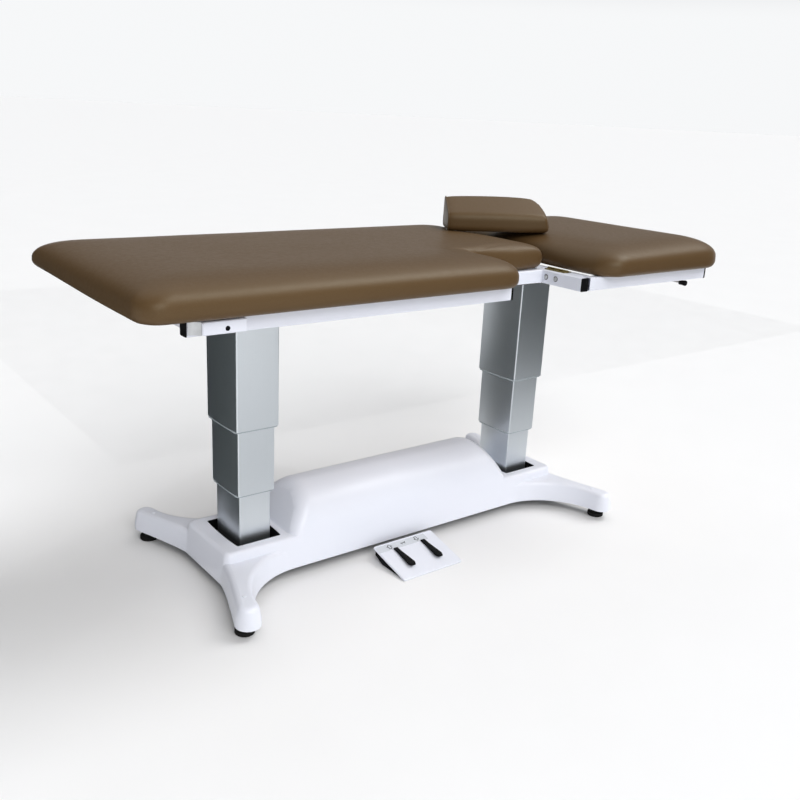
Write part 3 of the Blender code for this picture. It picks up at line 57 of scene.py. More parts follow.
# Camera, fitted to the photograph
CAMERA_PLACE = Vector((-1.6504, -2.0528, 1.2547))
CAMERA_YAW = math.radians(38.113)
CAMERA_PITCH = math.radians(17.839)
CAMERA_ROLL = math.radians(2.878)
CAMERA_LENS = 40.135
SENSOR = 36.0

# Studio: light of the horizon, of the sky above it and of the sky high up behind the couch
SURROUND_COLOUR = (0.98, 0.99, 1.0)
SURROUND_LEVEL = 0.945
MIDDLE_LEVEL = 0.22
SKY_LEVEL = 1.0
HORIZON_FADE = (0.10, 0.22)
HIGH_FADE = (0.40, 0.75)
BEHIND = (0.617, 0.787, 0.0)
BEHIND_FADE = (-0.2, 0.8)
FLOOR_RADIUS = 400.0

# Smooth shading of the frame's solids
WELD_REACH = 1e-6
SHARP_ANGLE = math.radians(32.0)

# Pads: sizes, close to those of their solids, and how much fuller the two ends are
TOP_WIDTH = 0.776
PAD_THICKNESS = 0.083
CUTOUT_LENGTH = 0.2895
CUTOUT_DEPTH = 0.213
BOARD_INSET = 0.0397
BOARD_RECESS = 0.0103
FOOT_FULLER = 0.007
HEAD_FULLER = 0.013

# Pads: corners of the outline and of the rim, where the rounded edge goes over into the top
FOOT_CORNER = 0.060
PAD_CORNER = 0.072
HEAD_CORNER = 0.125
NARROW_CORNER = 0.043
INNER_CORNER = 0.020
RIM_CORNER = 0.045
PAD_EDGE = 0.100
INNER_EDGE = 0.010
NARROW_EDGE = 0.060
DRAW_IN = 0.003

# Pads: rounding of the lower edge and dome of the top
UNDER_ROUND = 0.020
DOME_REACH = 0.20
DOME_FULLNESS = 3.0
HEAD_RISE = 0.019
UNEVENNESS = 0.0008
UNEVEN_SCALE = 5.0
UNEVEN_SLICE = 0.7

# Pads: the joint where they meet, with fades in metres and in shares of the thickness
JOINT_ROUND = 0.030
JOINT_REACH = (0.04, 0.14)
JOINT_BEFORE = 0.05
JOINT_AFTER_ON_HEAD = 0.25
JOINT_EASE = 0.005
EASE_REACH = 0.07
EASE_HEIGHTS = (0.2, 0.8)

# Pads: the head pad's hinge-side corner, which is free beside the cut-out
FREE_REACH = 0.009
FREE_RISE = 0.12
FREE_BEFORE = 0.08
FREE_AFTER = 0.16
FREE_FADE = (0.01, 0.10)
FREE_HEIGHTS = (0.25, 0.85)

# Pads: thinner tips
TIP_REACH = 0.16
TIP_DROP = 0.018
TIP_LIMIT = 1.2
UNDER_REACH = 0.07
TIP_LIFT = 0.012
LIFT_FADE = 0.6

# Pads: folds that run off the cut-out's inner corner
CREASES = 3
CREASE_DEPTH = 0.0020
CREASE_WIDTH = 0.0022
CREASE_SLOPE = 0.16
CREASE_BEFORE = 0.012
CREASE_STAGGER = 0.022
CREASE_LENGTH = 0.10
CREASE_LONGER = 0.035
CREASE_INSET = 0.008
CREASE_SPACING = 0.0052
CREASE_FULLNESS = 0.7
CREASE_ABOVE = 0.030

# Pads: mesh
CORNER_STEPS = 12
ROUND_STEPS = 8
EDGE_STEPS = 16
OUTLINE_STEP = 0.011
GRID_STEP = 0.022
GRID_MARGIN = 0.35
FOLD_GRID_BEFORE = 0.03
FOLD_GRID_AFTER = 0.20
FOLD_GRID_STEP = 0.005
FOLD_GRID_ROWS = 14
FOLD_GRID_ROW = 0.0016
INSIDE_FACES = 1
MERGE_REACH = 1e-7

# Pillow
PILLOW_LENGTH = 0.331
PILLOW_DEPTH = 0.145
PILLOW_FRONT_HEIGHT = 0.052
PILLOW_BACK_HEIGHT = 0.104
PILLOW_BACK_SLOPE = 0.024
PILLOW_ROUND = 0.018
PILLOW_NOSE = 0.026
PILLOW_END_LEAN = 0.20
PILLOW_END_CORNER = 0.050
PILLOW_PLACE = Vector((0.222, 0.131, 0.9036))
PILLOW_TURN = math.radians(-33.4)
PILLOW_TILT = math.radians(0.76)
PILLOW_SWELL = 0.005
PILLOW_FULLNESS = 0.7
PILLOW_SOFT_END = 0.018
SOFT_END_INSET = PILLOW_SOFT_END * 0.8
PANEL_MIDDLE_DEPTH = 0.5 * PILLOW_DEPTH
PANEL_MIDDLE_HEIGHT = 0.4 * PILLOW_BACK_HEIGHT
PILLOW_CORNER_STEPS = 9
PILLOW_CUTS = (8, 5, 8, 3)
PILLOW_STEPS = 22
SOFT_END_STEPS = 6
PIPING_RADIUS = 0.0020
PIPING_STEPS = 8
PIPING_LIFT = 0.0003

# Fasteners: the bolts' places along the tube, and distances from corners of what each one sits on
BOLT_ROWS = (-0.197, -0.236)
BOLT_HEIGHT = 0.021
# Spot of the black disc that paints the shade inside the bracket's hole
HOLE_SHADE_ALONG = 0.058
HOLE_SHADE_HEIGHT = 0.0115
PLUG_INSET = Vector((0.042358, 0.069813))
KNOB_START = 0.0225
TURN_STEPS = 28

# Glides and caps
GLIDE_CORNER = 0.006
CAP_PROUD = 0.0003
CAP_TOP_PROUD = 0.0001
CAP_CORNER = 0.004
CAP_RIM = (-0.0002, 0.0048)
CAP_CHAMFER = 0.0010

# Clamp beside the bracket
CLAMP_START = 0.0040
CLAMP_STEP = 0.0020
CLAMP_CURVE_START = 0.006
CLAMP_CURVE_END = 0.0015
CLAMP_CURVE = 2.2
CLAMP_CURVE_STEPS = 8
CLAMP_THIN = 0.0030
CLAMP_GROWTH = 0.013
CLAMP_GAP = 0.0003
CLAMP_HALF_HEIGHT = 0.0145
CLAMP_CHAMFER = 0.0004

# Weld beads
WELD_RADIUS = 0.0014
WELD_STEPS = 7
WELD_UNEVENNESS = ((0.16, 2.1), (0.08, 5.3))
TUBE_HEIGHT = 0.040
TUBE_CORNER = 0.004
TUBE_CUTS = (11, 14, 11, 14)

# Foot switch: signs in the plane of its plate, and ribs on its pedals
SWITCH_ORIGIN = Vector((-0.135, -0.320, 0.006))
SWITCH_SLOPE = math.radians(13.1)
STRIP_LOW = (-0.1060, 0.1245)
STRIP_HIGH = (0.074, 0.1515)
STRIP_CORNER = 0.002
STRIP_LEVELS = (-0.0003, 0.0004)
STRIP_CHAMFER = 0.0002
SIGN_LINE = 0.1388
SIGN_OUTLINE = 0.0021
SIGN_LEVELS = (0.0002, 0.0007)
FIELD_LEVELS = (0.0005, 0.0009)
SIGN_CHAMFER = 0.0001
RIBS = 5
RIB_START = 0.010
RIB_SPACING = 0.0085
RIB_HALF_LENGTH = 0.0098
RIB_SHORTER = 0.0008
RIB_HALF_WIDTH = 0.0013
RIB_CORNER = 0.0012
RIB_LEVELS = (-0.0004, 0.0009)
RIB_CHAMFER = 0.0004

# Pins in the mains inlet
INLET_HEIGHT = 0.078
PIN_DEPTH = 0.016
PIN_LEVELS = (-0.001, 0.012)
PIN_HALF = (0.0010, 0.0020)
PIN_CORNER = 0.0008
PIN_CHAMFER = 0.0007
SMALL_CORNER_STEPS = 3


# Mesh helpers

def add_piece(name, bm, look, body, smooth=True):
    """Make a piece of a bmesh in the shared frame, with a look, that moves with a body."""
    bmesh.ops.recalc_face_normals(bm, faces=bm.faces)
    mesh = bpy.data.meshes.new(name)
    bm.to_mesh(mesh)
    bm.free()
    if smooth:
        mesh.shade_smooth()
    mesh.materials.append(MATERIALS[look])
    piece = bpy.data.objects.new(name, mesh)
    bpy.context.scene.collection.objects.link(piece)
    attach(piece, body)
    return piece


def loft(bm, loops, closed=False, caps=True):
    """Join loops of points by faces, with the last back to the first if closed, or with end caps."""
    rings = [[bm.verts.new(point) for point in loop] for loop in loops]
    pairs = list(zip(rings, rings[1:]))
    if closed:
        pairs.append((rings[-1], rings[0]))
    for lower, upper in pairs:
        count = len(lower)
        for i in range(count):
            j = (i + 1) % count
            bm.faces.new((lower[i], lower[j], upper[j], upper[i]))
    if caps and not closed:
        bm.faces.new(list(reversed(rings[0])))
        bm.faces.new(rings[-1])
    return rings


def arc(centre, radius, start, end, segments):
    points = []
    for i in range(segments + 1):
        angle = start + (end - start) * i / segments
        points.append((centre[0] + radius * math.cos(angle), centre[1] + radius * math.sin(angle)))
    return points


def rounded_polygon(corners, segments, cuts):
    """Round each (x, y, radius) corner and put a number of points, cuts, along each edge."""
    rounded = []
    count = len(corners)
    for i in range(count):
        here = Vector(corners[i][:2])
        before = (Vector(corners[i - 1][:2]) - here).normalized()
        after = (Vector(corners[(i + 1) % count][:2]) - here).normalized()
        half = before.angle(after) / 2
        reach = corners[i][2] / math.tan(half)
        centre = here + (before + after).normalized() * corners[i][2] / math.sin(half)
        first = here + before * reach - centre
        turn = first.angle_signed(here + after * reach - centre)
        start = math.atan2(first.y, first.x)
        rounded.append(arc(centre, corners[i][2], start, start - turn, segments))
    outline = []
    for i in range(count):
        outline += rounded[i]
        a = Vector(rounded[i][-1])
        b = Vector(rounded[(i + 1) % count][0])
        for k in range(1, cuts[i] + 1):
            outline.append(tuple(a.lerp(b, k / (cuts[i] + 1))))
    return outline


def edge_cuts(corners, spacing):
    """Points per edge of a polygon that lie about spacing apart."""
    cuts = []
    for a, b in zip(corners, corners[1:] + corners[:1]):
        cuts.append(round(math.dist(a[:2], b[:2]) / spacing))
    return cuts


def inward_normals(outline):
    """Directions that inset an outline's points; their lengths keep the inset even round corners."""
    normals = []
    count = len(outline)
    for i in range(count):
        here = Vector(outline[i])
        into = (here - Vector(outline[i - 1])).normalized()
        out = (Vector(outline[(i + 1) % count]) - here).normalized()
        normal = Vector((-into.y - out.y, into.x + out.x)).normalized()
        normals.append(normal / normal.dot(Vector((-into.y, into.x))))
    return normals


def smooth_step(value, low, high):
    t = min(max((value - low) / (high - low), 0.0), 1.0)
    return t * t * (3 - 2 * t)


def edge_distances(points, loop):
    """Distance of each point from a closed outline."""
    points = np.asarray(points)[:, None, :]
    starts = np.asarray(loop)
    runs = np.roll(starts, -1, axis=0) - starts
    along = ((points - starts) * runs).sum(axis=2) / (runs * runs).sum(axis=1)
    nearest = starts + np.clip(along, 0.0, 1.0)[:, :, None] * runs
    return np.linalg.norm(points - nearest, axis=2).min(axis=1)


# Materials

class Graph:
    """Adds nodes to a material's tree and links them; place is the spot in the piece's own frame."""

    def __init__(self, name, colour, roughness, metallic=0.0):
        self.material = bpy.data.materials.new(name)
        self.material.use_nodes = True
        self.tree = self.material.node_tree
        self.shader = self.tree.nodes["Principled BSDF"]
        self.shader.inputs["Base Color"].default_value = (*colour, 1.0)
        self.shader.inputs["Roughness"].default_value = roughness
        self.shader.inputs["Metallic"].default_value = metallic
        self.place = self.add("ShaderNodeTexCoord").outputs["Object"]

    def add(self, kind, **settings):
        node = self.tree.nodes.new(kind)
        for key, value in settings.items():
            setattr(node, key, value)
        return node

    def link(self, output, socket):
        self.tree.links.new(output, socket)

    def stretched(self, scale):
        mapping = self.add("ShaderNodeMapping")
        mapping.inputs["Scale"].default_value = scale
        self.link(self.place, mapping.inputs["Vector"])
        return mapping.outputs["Vector"]

    def noise(self, scale, detail=3.0, roughness=0.5, distortion=0.0):
        """Noise with so many features per metre along x, y and z."""
        node = self.add("ShaderNodeTexNoise")
        node.inputs["Scale"].default_value = 1.0
        node.inputs["Detail"].default_value = detail
        node.inputs["Roughness"].default_value = roughness
        node.inputs["Distortion"].default_value = distortion
        self.link(self.stretched(scale), node.inputs["Vector"])
        return node.outputs["Fac"]

    def cells(self, scale):
        """Distances in a pattern of cells, with so many per metre along x, y and z."""
        node = self.add("ShaderNodeTexVoronoi")
        node.inputs["Scale"].default_value = 1.0
        self.link(self.stretched(scale), node.inputs["Vector"])
        return node.outputs["Distance"]

    def span(self, value, low, high, from_low=0.3, from_high=0.7):
        """A value's usual range, stretched to low and high."""
        node = self.add("ShaderNodeMapRange")
        node.inputs["From Min"].default_value = from_low
        node.inputs["From Max"].default_value = from_high
        node.inputs["To Min"].default_value = low
        node.inputs["To Max"].default_value = high
        self.link(value, node.inputs["Value"])
        return node.outputs["Result"]

    def blend(self, factor, first, second):
        """Mix two colours, each a colour or another node's output."""
        node = self.add("ShaderNodeMix", data_type="RGBA")
        self.link(factor, node.inputs["Factor"])
        for name, colour in (("A", first), ("B", second)):
            socket = next(s for s in node.inputs if s.name == name and s.type == "RGBA")
            if isinstance(colour, tuple):
                socket.default_value = (*colour, 1.0)
            else:
                self.link(colour, socket)
        return next(s for s in node.outputs if s.type == "RGBA")

    def tones(self, value, first, second):
        """Colour that drifts between two tones as a noise does."""
        return self.blend(self.span(value, 0.0, 1.0), first, second)

    def bump(self, height, distance, strength=1.0, under=None):
        node = self.add("ShaderNodeBump")
        node.inputs["Strength"].default_value = strength
        node.inputs["Distance"].default_value = distance
        self.link(height, node.inputs["Height"])
        if under:
            self.link(under, node.inputs["Normal"])
        return node.outputs["Normal"]

    def colour(self, output):
        self.link(output, self.shader.inputs["Base Color"])

    def roughness(self, output):
        self.link(output, self.shader.inputs["Roughness"])

    def normal(self, output):
        self.link(output, self.shader.inputs["Normal"])


def even(scale):
    return (scale, scale, scale)


def leatherette():
    """Brown vinyl with a fine pebbled grain, slight tone drift and a soft gloss."""
    g = Graph("leatherette", (0.093, 0.048, 0.019), 0.42)
    drift = g.noise(even(3.0), 3.0)
    pores = g.cells(even(620.0))
    base = g.tones(drift, (0.085, 0.0455, 0.016), (0.093, 0.0505, 0.019))
    g.colour(g.blend(g.span(pores, 0.0, 1.0, 0.15, 0.75), base, (0.102, 0.058, 0.023)))
    g.roughness(g.span(g.noise(even(90.0), 4.0), 0.42, 0.48))
    g.normal(g.bump(pores, 0.00018, 0.6))
    g.shader.inputs["Specular IOR Level"].default_value = 0.36
    g.shader.inputs["Specular Tint"].default_value = (1.0, 0.98, 0.80, 1.0)
    return g.material


def enamel():
    """Glossy white powder coat with a faint orange peel."""
    g = Graph("white_enamel", (0.78, 0.80, 0.89), 0.28)
    drift = g.noise(even(5.0), 2.0)
    g.colour(g.tones(drift, (0.765, 0.79, 0.875), (0.795, 0.815, 0.90)))
    g.roughness(g.span(g.noise(even(20.0), 2.0), 0.30, 0.34))
    g.normal(g.bump(g.noise(even(420.0), 2.0), 0.000003))
    return g.material


def moulding():
    """White moulded plastic with a very fine spark texture."""
    g = Graph("white_moulding", (0.80, 0.82, 0.90), 0.30)
    drift = g.noise(even(4.0), 2.0)
    g.colour(g.tones(drift, (0.785, 0.81, 0.89), (0.81, 0.83, 0.91)))
    g.roughness(g.span(g.noise(even(12.0), 2.0), 0.30, 0.34))
    waves = g.bump(g.noise(even(7.0), 1.0), 0.0004)
    g.normal(g.bump(g.noise(even(1100.0), 2.0), 0.000001, 1.0, waves))
    return g.material


def aluminium():
    """Satin anodised aluminium with a fine blasted grain and faint drawing lines."""
    g = Graph("satin_aluminium", (0.58, 0.61, 0.62), 0.36, 1.0)
    lines = g.noise((900.0, 900.0, 4.0), 2.0)
    grain = g.noise(even(1300.0), 2.0)
    tone = g.tones(lines, (0.78, 0.825, 0.86), (0.81, 0.85, 0.885))
    g.colour(g.tones(grain, tone, (0.77, 0.815, 0.85)))
    g.roughness(g.span(grain, 0.33, 0.40))
    g.normal(g.bump(grain, 0.00003))
    return g.material


def black_plastic():
    """Black moulded plastic with a fine leather grain."""
    g = Graph("black_plastic", (0.006, 0.006, 0.007), 0.45)
    grain = g.cells(even(900.0))
    g.colour(g.tones(g.noise(even(40.0)), (0.004, 0.004, 0.005), (0.008, 0.008, 0.009)))
    g.roughness(g.span(grain, 0.38, 0.55, 0.1, 0.8))
    g.normal(g.bump(grain, 0.00010, 0.6))
    g.shader.inputs["Specular IOR Level"].default_value = 0.06
    return g.material


def rubber():
    """Matt black rubber with a little dust."""
    g = Graph("black_rubber", (0.015, 0.015, 0.015), 0.7)
    dust = g.noise(even(90.0), 4.0)
    g.colour(g.tones(dust, (0.007, 0.007, 0.007), (0.014, 0.0135, 0.013)))
    g.roughness(g.span(dust, 0.62, 0.82))
    g.normal(g.bump(g.noise(even(700.0)), 0.00012))
    g.shader.inputs["Specular IOR Level"].default_value = 0.15
    return g.material


def zinc():
    """Zinc-plated steel with fine turning marks."""
    g = Graph("zinc_steel", (0.55, 0.56, 0.57), 0.3, 1.0)
    marks = g.noise(even(900.0), 3.0)
    g.colour(g.tones(g.noise(even(30.0)), (0.48, 0.49, 0.50), (0.62, 0.63, 0.64)))
    g.roughness(g.span(marks, 0.24, 0.38))
    g.normal(g.bump(marks, 0.00003))
    return g.material


def dark_steel():
    """Blackened steel with a rough grain."""
    g = Graph("dark_steel", (0.05, 0.055, 0.055), 0.5)
    grain = g.noise(even(650.0), 3.0)
    g.colour(g.tones(g.noise(even(12.0)), (0.042, 0.046, 0.047), (0.060, 0.064, 0.065)))
    g.roughness(g.span(grain, 0.42, 0.60))
    g.normal(g.bump(grain, 0.00012))
    return g.material


def brass():
    """Dull brass with fine drawing marks."""
    g = Graph("brass", (0.26, 0.21, 0.085), 0.35, 1.0)
    marks = g.noise((60.0, 1500.0, 1500.0), 3.0)
    g.colour(g.tones(g.noise(even(150.0)), (0.20, 0.16, 0.06), (0.32, 0.26, 0.11)))
    g.roughness(g.span(marks, 0.28, 0.45))
    g.normal(g.bump(marks, 0.00004))
    return g.material


def plywood():
    """Birch plywood face with long grain and fine pores."""
    g = Graph("plywood", (0.45, 0.32, 0.19), 0.65)
    grain = g.noise((3.0, 60.0, 60.0), 5.0, 0.6, 0.8)
    pores = g.noise((40.0, 900.0, 900.0), 2.0)
    tone = g.tones(grain, (0.36, 0.24, 0.135), (0.54, 0.39, 0.24))
    g.colour(g.blend(g.span(pores, 0.0, 0.5, 0.45, 0.8), tone, (0.26, 0.17, 0.09)))
    g.roughness(g.span(grain, 0.55, 0.72))
    g.normal(g.bump(pores, 0.00015))
    return g.material


def grey_plastic():
    """Grey glide plastic with a fine matt grain."""
    g = Graph("grey_plastic", (0.36, 0.41, 0.44), 0.5)
    grain = g.noise(even(800.0), 2.0)
    g.colour(g.tones(g.noise(even(50.0)), (0.34, 0.39, 0.42), (0.39, 0.44, 0.47)))
    g.roughness(g.span(grain, 0.45, 0.60))
    g.normal(g.bump(grain, 0.00005))
    return g.material


def grey_film():
    """Pale grey matt film of the foot switch's strip."""
    g = Graph("grey_film", (0.62, 0.65, 0.70), 0.55)
    grain = g.noise(even(900.0), 2.0)
    g.colour(g.tones(g.noise(even(25.0)), (0.60, 0.63, 0.68), (0.64, 0.67, 0.72)))
    g.roughness(g.span(grain, 0.50, 0.62))
    g.normal(g.bump(grain, 0.00003))
    return g.material


MATERIALS = {
    "brown_leatherette": leatherette(),
    "white_enamel": enamel(),
    "white_moulding": moulding(),
    "satin_aluminium": aluminium(),
    "black_plastic": black_plastic(),
    "black_rubber": rubber(),
    "zinc_steel": zinc(),
    "dark_steel": dark_steel(),
    "brass": brass(),
    "plywood": plywood(),
    "grey_plastic": grey_plastic(),
    "grey_film": grey_film(),
}


def dress_frame():
    """Give every CAD node its material and smooth its curved faces."""
    for subpart in frame["record"]["subparts"]:
        item = nodes[subpart["node"]]
        item.data.materials.clear()
        item.data.materials.append(MATERIALS[subpart["material_slot"]])
        item.data.shade_smooth()
        weld = item.modifiers.new("weld", "WELD")
        weld.merge_threshold = WELD_REACH
        split = item.modifiers.new("creases", "EDGE_SPLIT")
        split.split_angle = SHARP_ANGLE
        split.use_edge_sharp = False
        item.modifiers.new("even_shading", "WEIGHTED_NORMAL")


dress_frame()


# Upholstered pads

MAIN_LOW, MAIN_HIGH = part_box("main_cushion")
HEAD_LOW, HEAD_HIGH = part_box("head_cushion")
HALF_WIDTH = TOP_WIDTH / 2
CUTOUT_START = MAIN_HIGH.x - CUTOUT_LENGTH
CUTOUT_FACE = CUTOUT_DEPTH - HALF_WIDTH


def dome_height(inset):
    """Height of a pad's soft upper side above its widest line, that far in from its edge."""
    left = 1 - min(inset / DOME_REACH, 1.0)
    return (PAD_THICKNESS - UNDER_ROUND) * (1 - left ** DOME_FULLNESS) ** (1 / DOME_FULLNESS)


def drawn_in(outline, corners):
    """Pull the long straight sides in a little between the corners."""
    low = min(corner[0] for corner in corners)
    high = max(corner[0] for corner in corners)
    half = max(corner[1] for corner in corners)
    pulled = []
    for x, y in outline:
        if abs(y) > half - DRAW_IN:
            y -= math.copysign(DRAW_IN * math.sin(math.pi * (x - low) / (high - low)), y)
        pulled.append((x, y))
    return pulled


def under_round(x, y):
    """Radius of a pad's lower edge, larger where the two pads meet so that the head pad can swing."""
    gap = (MAIN_HIGH.x + HEAD_LOW.x) / 2
    after = JOINT_AFTER_ON_HEAD if x > gap else 0.0
    near = 1 - smooth_step(abs(x - gap), *JOINT_REACH)
    near *= smooth_step(y, CUTOUT_FACE - JOINT_BEFORE, CUTOUT_FACE + after)
    return UNDER_ROUND + (JOINT_ROUND - UNDER_ROUND) * near


def free_corner(x, y):
    """How much a point of the head pad belongs to its hinge side beside the cut-out."""
    along = smooth_step(y, -HALF_WIDTH, FREE_RISE - HALF_WIDTH)
    along *= 1 - smooth_step(y, CUTOUT_FACE - FREE_BEFORE, CUTOUT_FACE + FREE_AFTER)
    return along * (1 - smooth_step(x - HEAD_LOW.x, *FREE_FADE))


def pad(corners, rim_corners, base, extra_points=()):
    """Closed pad: recess for its board, rounded sides and a domed top."""
    cuts = edge_cuts(corners, OUTLINE_STEP)
    outline = drawn_in(rounded_polygon(corners, CORNER_STEPS, cuts), corners)
    rim = rounded_polygon(rim_corners, CORNER_STEPS, cuts)
    normals = inward_normals(outline)
    unders = [under_round(x, y) for x, y in outline]

    def ring(insets, heights):
        points = []
        for (x, y), n, inset, height in zip(outline, normals, insets, heights):
            points.append((x + n.x * inset, y + n.y * inset, base + height))
        return points

    flat = [BOARD_INSET] * len(outline)
    rings = [ring(flat, [BOARD_RECESS] * len(outline)), ring(flat, [0.0] * len(outline))]
    for k in range(ROUND_STEPS + 1):
        angle = math.pi / 2 * k / ROUND_STEPS
        insets = [under * (1 - math.sin(angle)) for under in unders]
        rings.append(ring(insets, [under * (1 - math.cos(angle)) for under in unders]))
    for k in range(1, EDGE_STEPS + 1):
        share = 1 - math.cos(math.pi / 2 * k / EDGE_STEPS)
        level = []
        for a, b, under in zip(outline, rim, unders):
            widest = UNDER_ROUND + (under - UNDER_ROUND) * (1 - share) ** 3
            z = base + widest + dome_height(share * PAD_EDGE)
            level.append((*Vector(a).lerp(Vector(b), share), z))
        rings.append(level)
    bm = bmesh.new()
    made = loft(bm, rings, caps=False)
    bm.faces.new(list(reversed(made[0])))
    fill_top(bm, made[-1], rim, base + UNDER_ROUND, extra_points)
    return bm


def fill_top(bm, rim_verts, rim, widest, extra_points):
    """Fill the rim with a domed triangle mesh over a grid, finer where extra points are given."""
    low = np.min(rim, axis=0)
    high = np.max(rim, axis=0)
    steps = np.round((high - low) / GRID_STEP).astype(int)
    xs = np.linspace(low[0], high[0], steps[0] + 1)[1:-1]
    ys = np.linspace(low[1], high[1], steps[1] + 1)[1:-1]
    grid = [(x, y) for x in xs for y in ys]
    far = edge_distances(grid, rim)
    points = [p for p, d in zip(grid, far) if d > GRID_STEP * GRID_MARGIN]
    points += list(extra_points)
    loop = list(range(len(rim)))
    corners = [Vector(p) for p in list(rim) + points]
    verts, _, faces, sources, _, _ = delaunay_2d_cdt(corners, [], [loop], INSIDE_FACES, MERGE_REACH)
    depths = edge_distances([tuple(v) for v in verts], rim)
    made = []
    for position, depth, source in zip(verts, depths, sources):
        own = [s for s in source if s < len(rim)]
        if own:
            made.append(rim_verts[own[0]])
        else:
            made.append(bm.verts.new((*position, widest + dome_height(PAD_EDGE + depth))))
    for face in faces:
        bm.faces.new([made[i] for i in face])


def undulate(bm, base):
    """A slow, shallow unevenness, as foam under a stretched cover has."""
    for vert in bm.verts:
        height = min(max((vert.co.z - base) / PAD_THICKNESS, 0.0), 1.0)
        swell = noise.noise(Vector((vert.co.x * UNEVEN_SCALE, vert.co.y * UNEVEN_SCALE, UNEVEN_SLICE)))
        vert.co.z += UNEVENNESS * height * height * swell


def crease_depth(x, y):
    """How deep the folds off the cut-out's inner corner are, from 0 to 1 for each."""
    depth = 0.0
    for i in range(CREASES):
        start = CUTOUT_START - CREASE_BEFORE + CREASE_STAGGER * i
        t = (x - start) / (CREASE_LENGTH + CREASE_LONGER * i)
        if 0 < t < 1:
            line = CUTOUT_FACE + CREASE_INSET + CREASE_SPACING * i + CREASE_SLOPE * (x - CUTOUT_START)
            across = math.exp(-((y - line) / CREASE_WIDTH) ** 2)
            depth += math.sin(math.pi * t) ** CREASE_FULLNESS * across
    return depth


def crease(bm):
    """Press the folds into the main pad's upper side."""
    for vert in bm.verts:
        if vert.co.z > MAIN_LOW.z + CREASE_ABOVE:
            vert.co.z -= CREASE_DEPTH * crease_depth(vert.co.x, vert.co.y)


def crease_points():
    """Close rows of points inside the rim, so that the mesh can show the folds."""
    points = []
    for x in np.arange(CUTOUT_START - FOLD_GRID_BEFORE, CUTOUT_START + FOLD_GRID_AFTER, FOLD_GRID_STEP):
        share = (x + PAD_EDGE - CUTOUT_START) / CUTOUT_LENGTH
        rim = CUTOUT_FACE + INNER_EDGE + (NARROW_EDGE - INNER_EDGE) * share
        for i in range(FOLD_GRID_ROWS):
            points.append((float(x), float(rim + FOLD_GRID_ROW * (i + 1))))
    return points


def thin_foot(bm, foot):
    """Lift the lower edge of the main pad's foot end towards its back corner."""
    for vert in bm.verts:
        height = (vert.co.z - MAIN_LOW.z) / PAD_THICKNESS
        under = min(max((foot - vert.co.x) / UNDER_REACH + 1, 0.0), 1.0) ** 2
        under *= smooth_step(vert.co.y, -HALF_WIDTH / 2, HALF_WIDTH)
        vert.co.z += TIP_LIFT * under * max(1 - height / LIFT_FADE, 0.0)


def ease_joint(bm, base, edge, way):
    """Lean a pad's side back a little where the pads face each other, to leave room for the tilt."""
    for vert in bm.verts:
        height = min(max((vert.co.z - base) / PAD_THICKNESS, 0.0), 1.0)
        near = 1 - smooth_step(abs(vert.co.x - edge), 0.0, EASE_REACH)
        vert.co.x += way * JOINT_EASE * near * smooth_step(height, *EASE_HEIGHTS)


def reach_over(bm):
    """Let the lower edge of the head pad's free corner reach over its hinge tube."""
    for vert in bm.verts:
        height = (vert.co.z - HEAD_LOW.z) / PAD_THICKNESS
        low = 1 - smooth_step(height, *FREE_HEIGHTS)
        vert.co.x -= FREE_REACH * free_corner(vert.co.x, vert.co.y) * low


def climb(bm):
    """Lift the head pad's top towards its head end, and thin its tip."""
    for vert in bm.verts:
        height = max((vert.co.z - HEAD_LOW.z - BOARD_RECESS) / PAD_THICKNESS, 0.0)
        vert.co.z += HEAD_RISE * height * (vert.co.x - HEAD_LOW.x) / (HEAD_HIGH.x - HEAD_LOW.x)
        tip = min(max((vert.co.x - HEAD_HIGH.x) / TIP_REACH + 1, 0.0), TIP_LIMIT) ** 2
        vert.co.z -= TIP_DROP * tip * height
        under = min(max((vert.co.x - HEAD_HIGH.x) / UNDER_REACH + 1, 0.0), TIP_LIMIT) ** 2
        vert.co.z += TIP_LIFT * under * max(1 - height / LIFT_FADE, 0.0)


def main_pad():
    """Main pad with its cut-out, which rides on the lifting frame."""
    foot = MAIN_LOW.x - FOOT_FULLER
    head = MAIN_HIGH.x
    corners = [
        (foot, -HALF_WIDTH, FOOT_CORNER),
        (CUTOUT_START, -HALF_WIDTH, PAD_CORNER),
        (CUTOUT_START, CUTOUT_FACE, INNER_CORNER),
        (head, CUTOUT_FACE, NARROW_CORNER),
        (head, HALF_WIDTH, PAD_CORNER),
        (foot, HALF_WIDTH, FOOT_CORNER),
    ]
    rim = [
        (foot + PAD_EDGE, PAD_EDGE - HALF_WIDTH, RIM_CORNER),
        (CUTOUT_START - PAD_EDGE, PAD_EDGE - HALF_WIDTH, RIM_CORNER),
        (CUTOUT_START - PAD_EDGE, CUTOUT_FACE + INNER_EDGE, INNER_CORNER),
        (head - PAD_EDGE, CUTOUT_FACE + NARROW_EDGE, RIM_CORNER),
        (head - PAD_EDGE, HALF_WIDTH - PAD_EDGE, RIM_CORNER),
        (foot + PAD_EDGE, HALF_WIDTH - PAD_EDGE, RIM_CORNER),
    ]
    bm = pad(corners, rim, MAIN_LOW.z, crease_points())
    undulate(bm, MAIN_LOW.z)
    crease(bm)
    thin_foot(bm, foot)
    ease_joint(bm, MAIN_LOW.z, MAIN_HIGH.x, -1)
    piece = add_piece("main_pad", bm, "brown_leatherette", "lift")
    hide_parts("main_cushion")


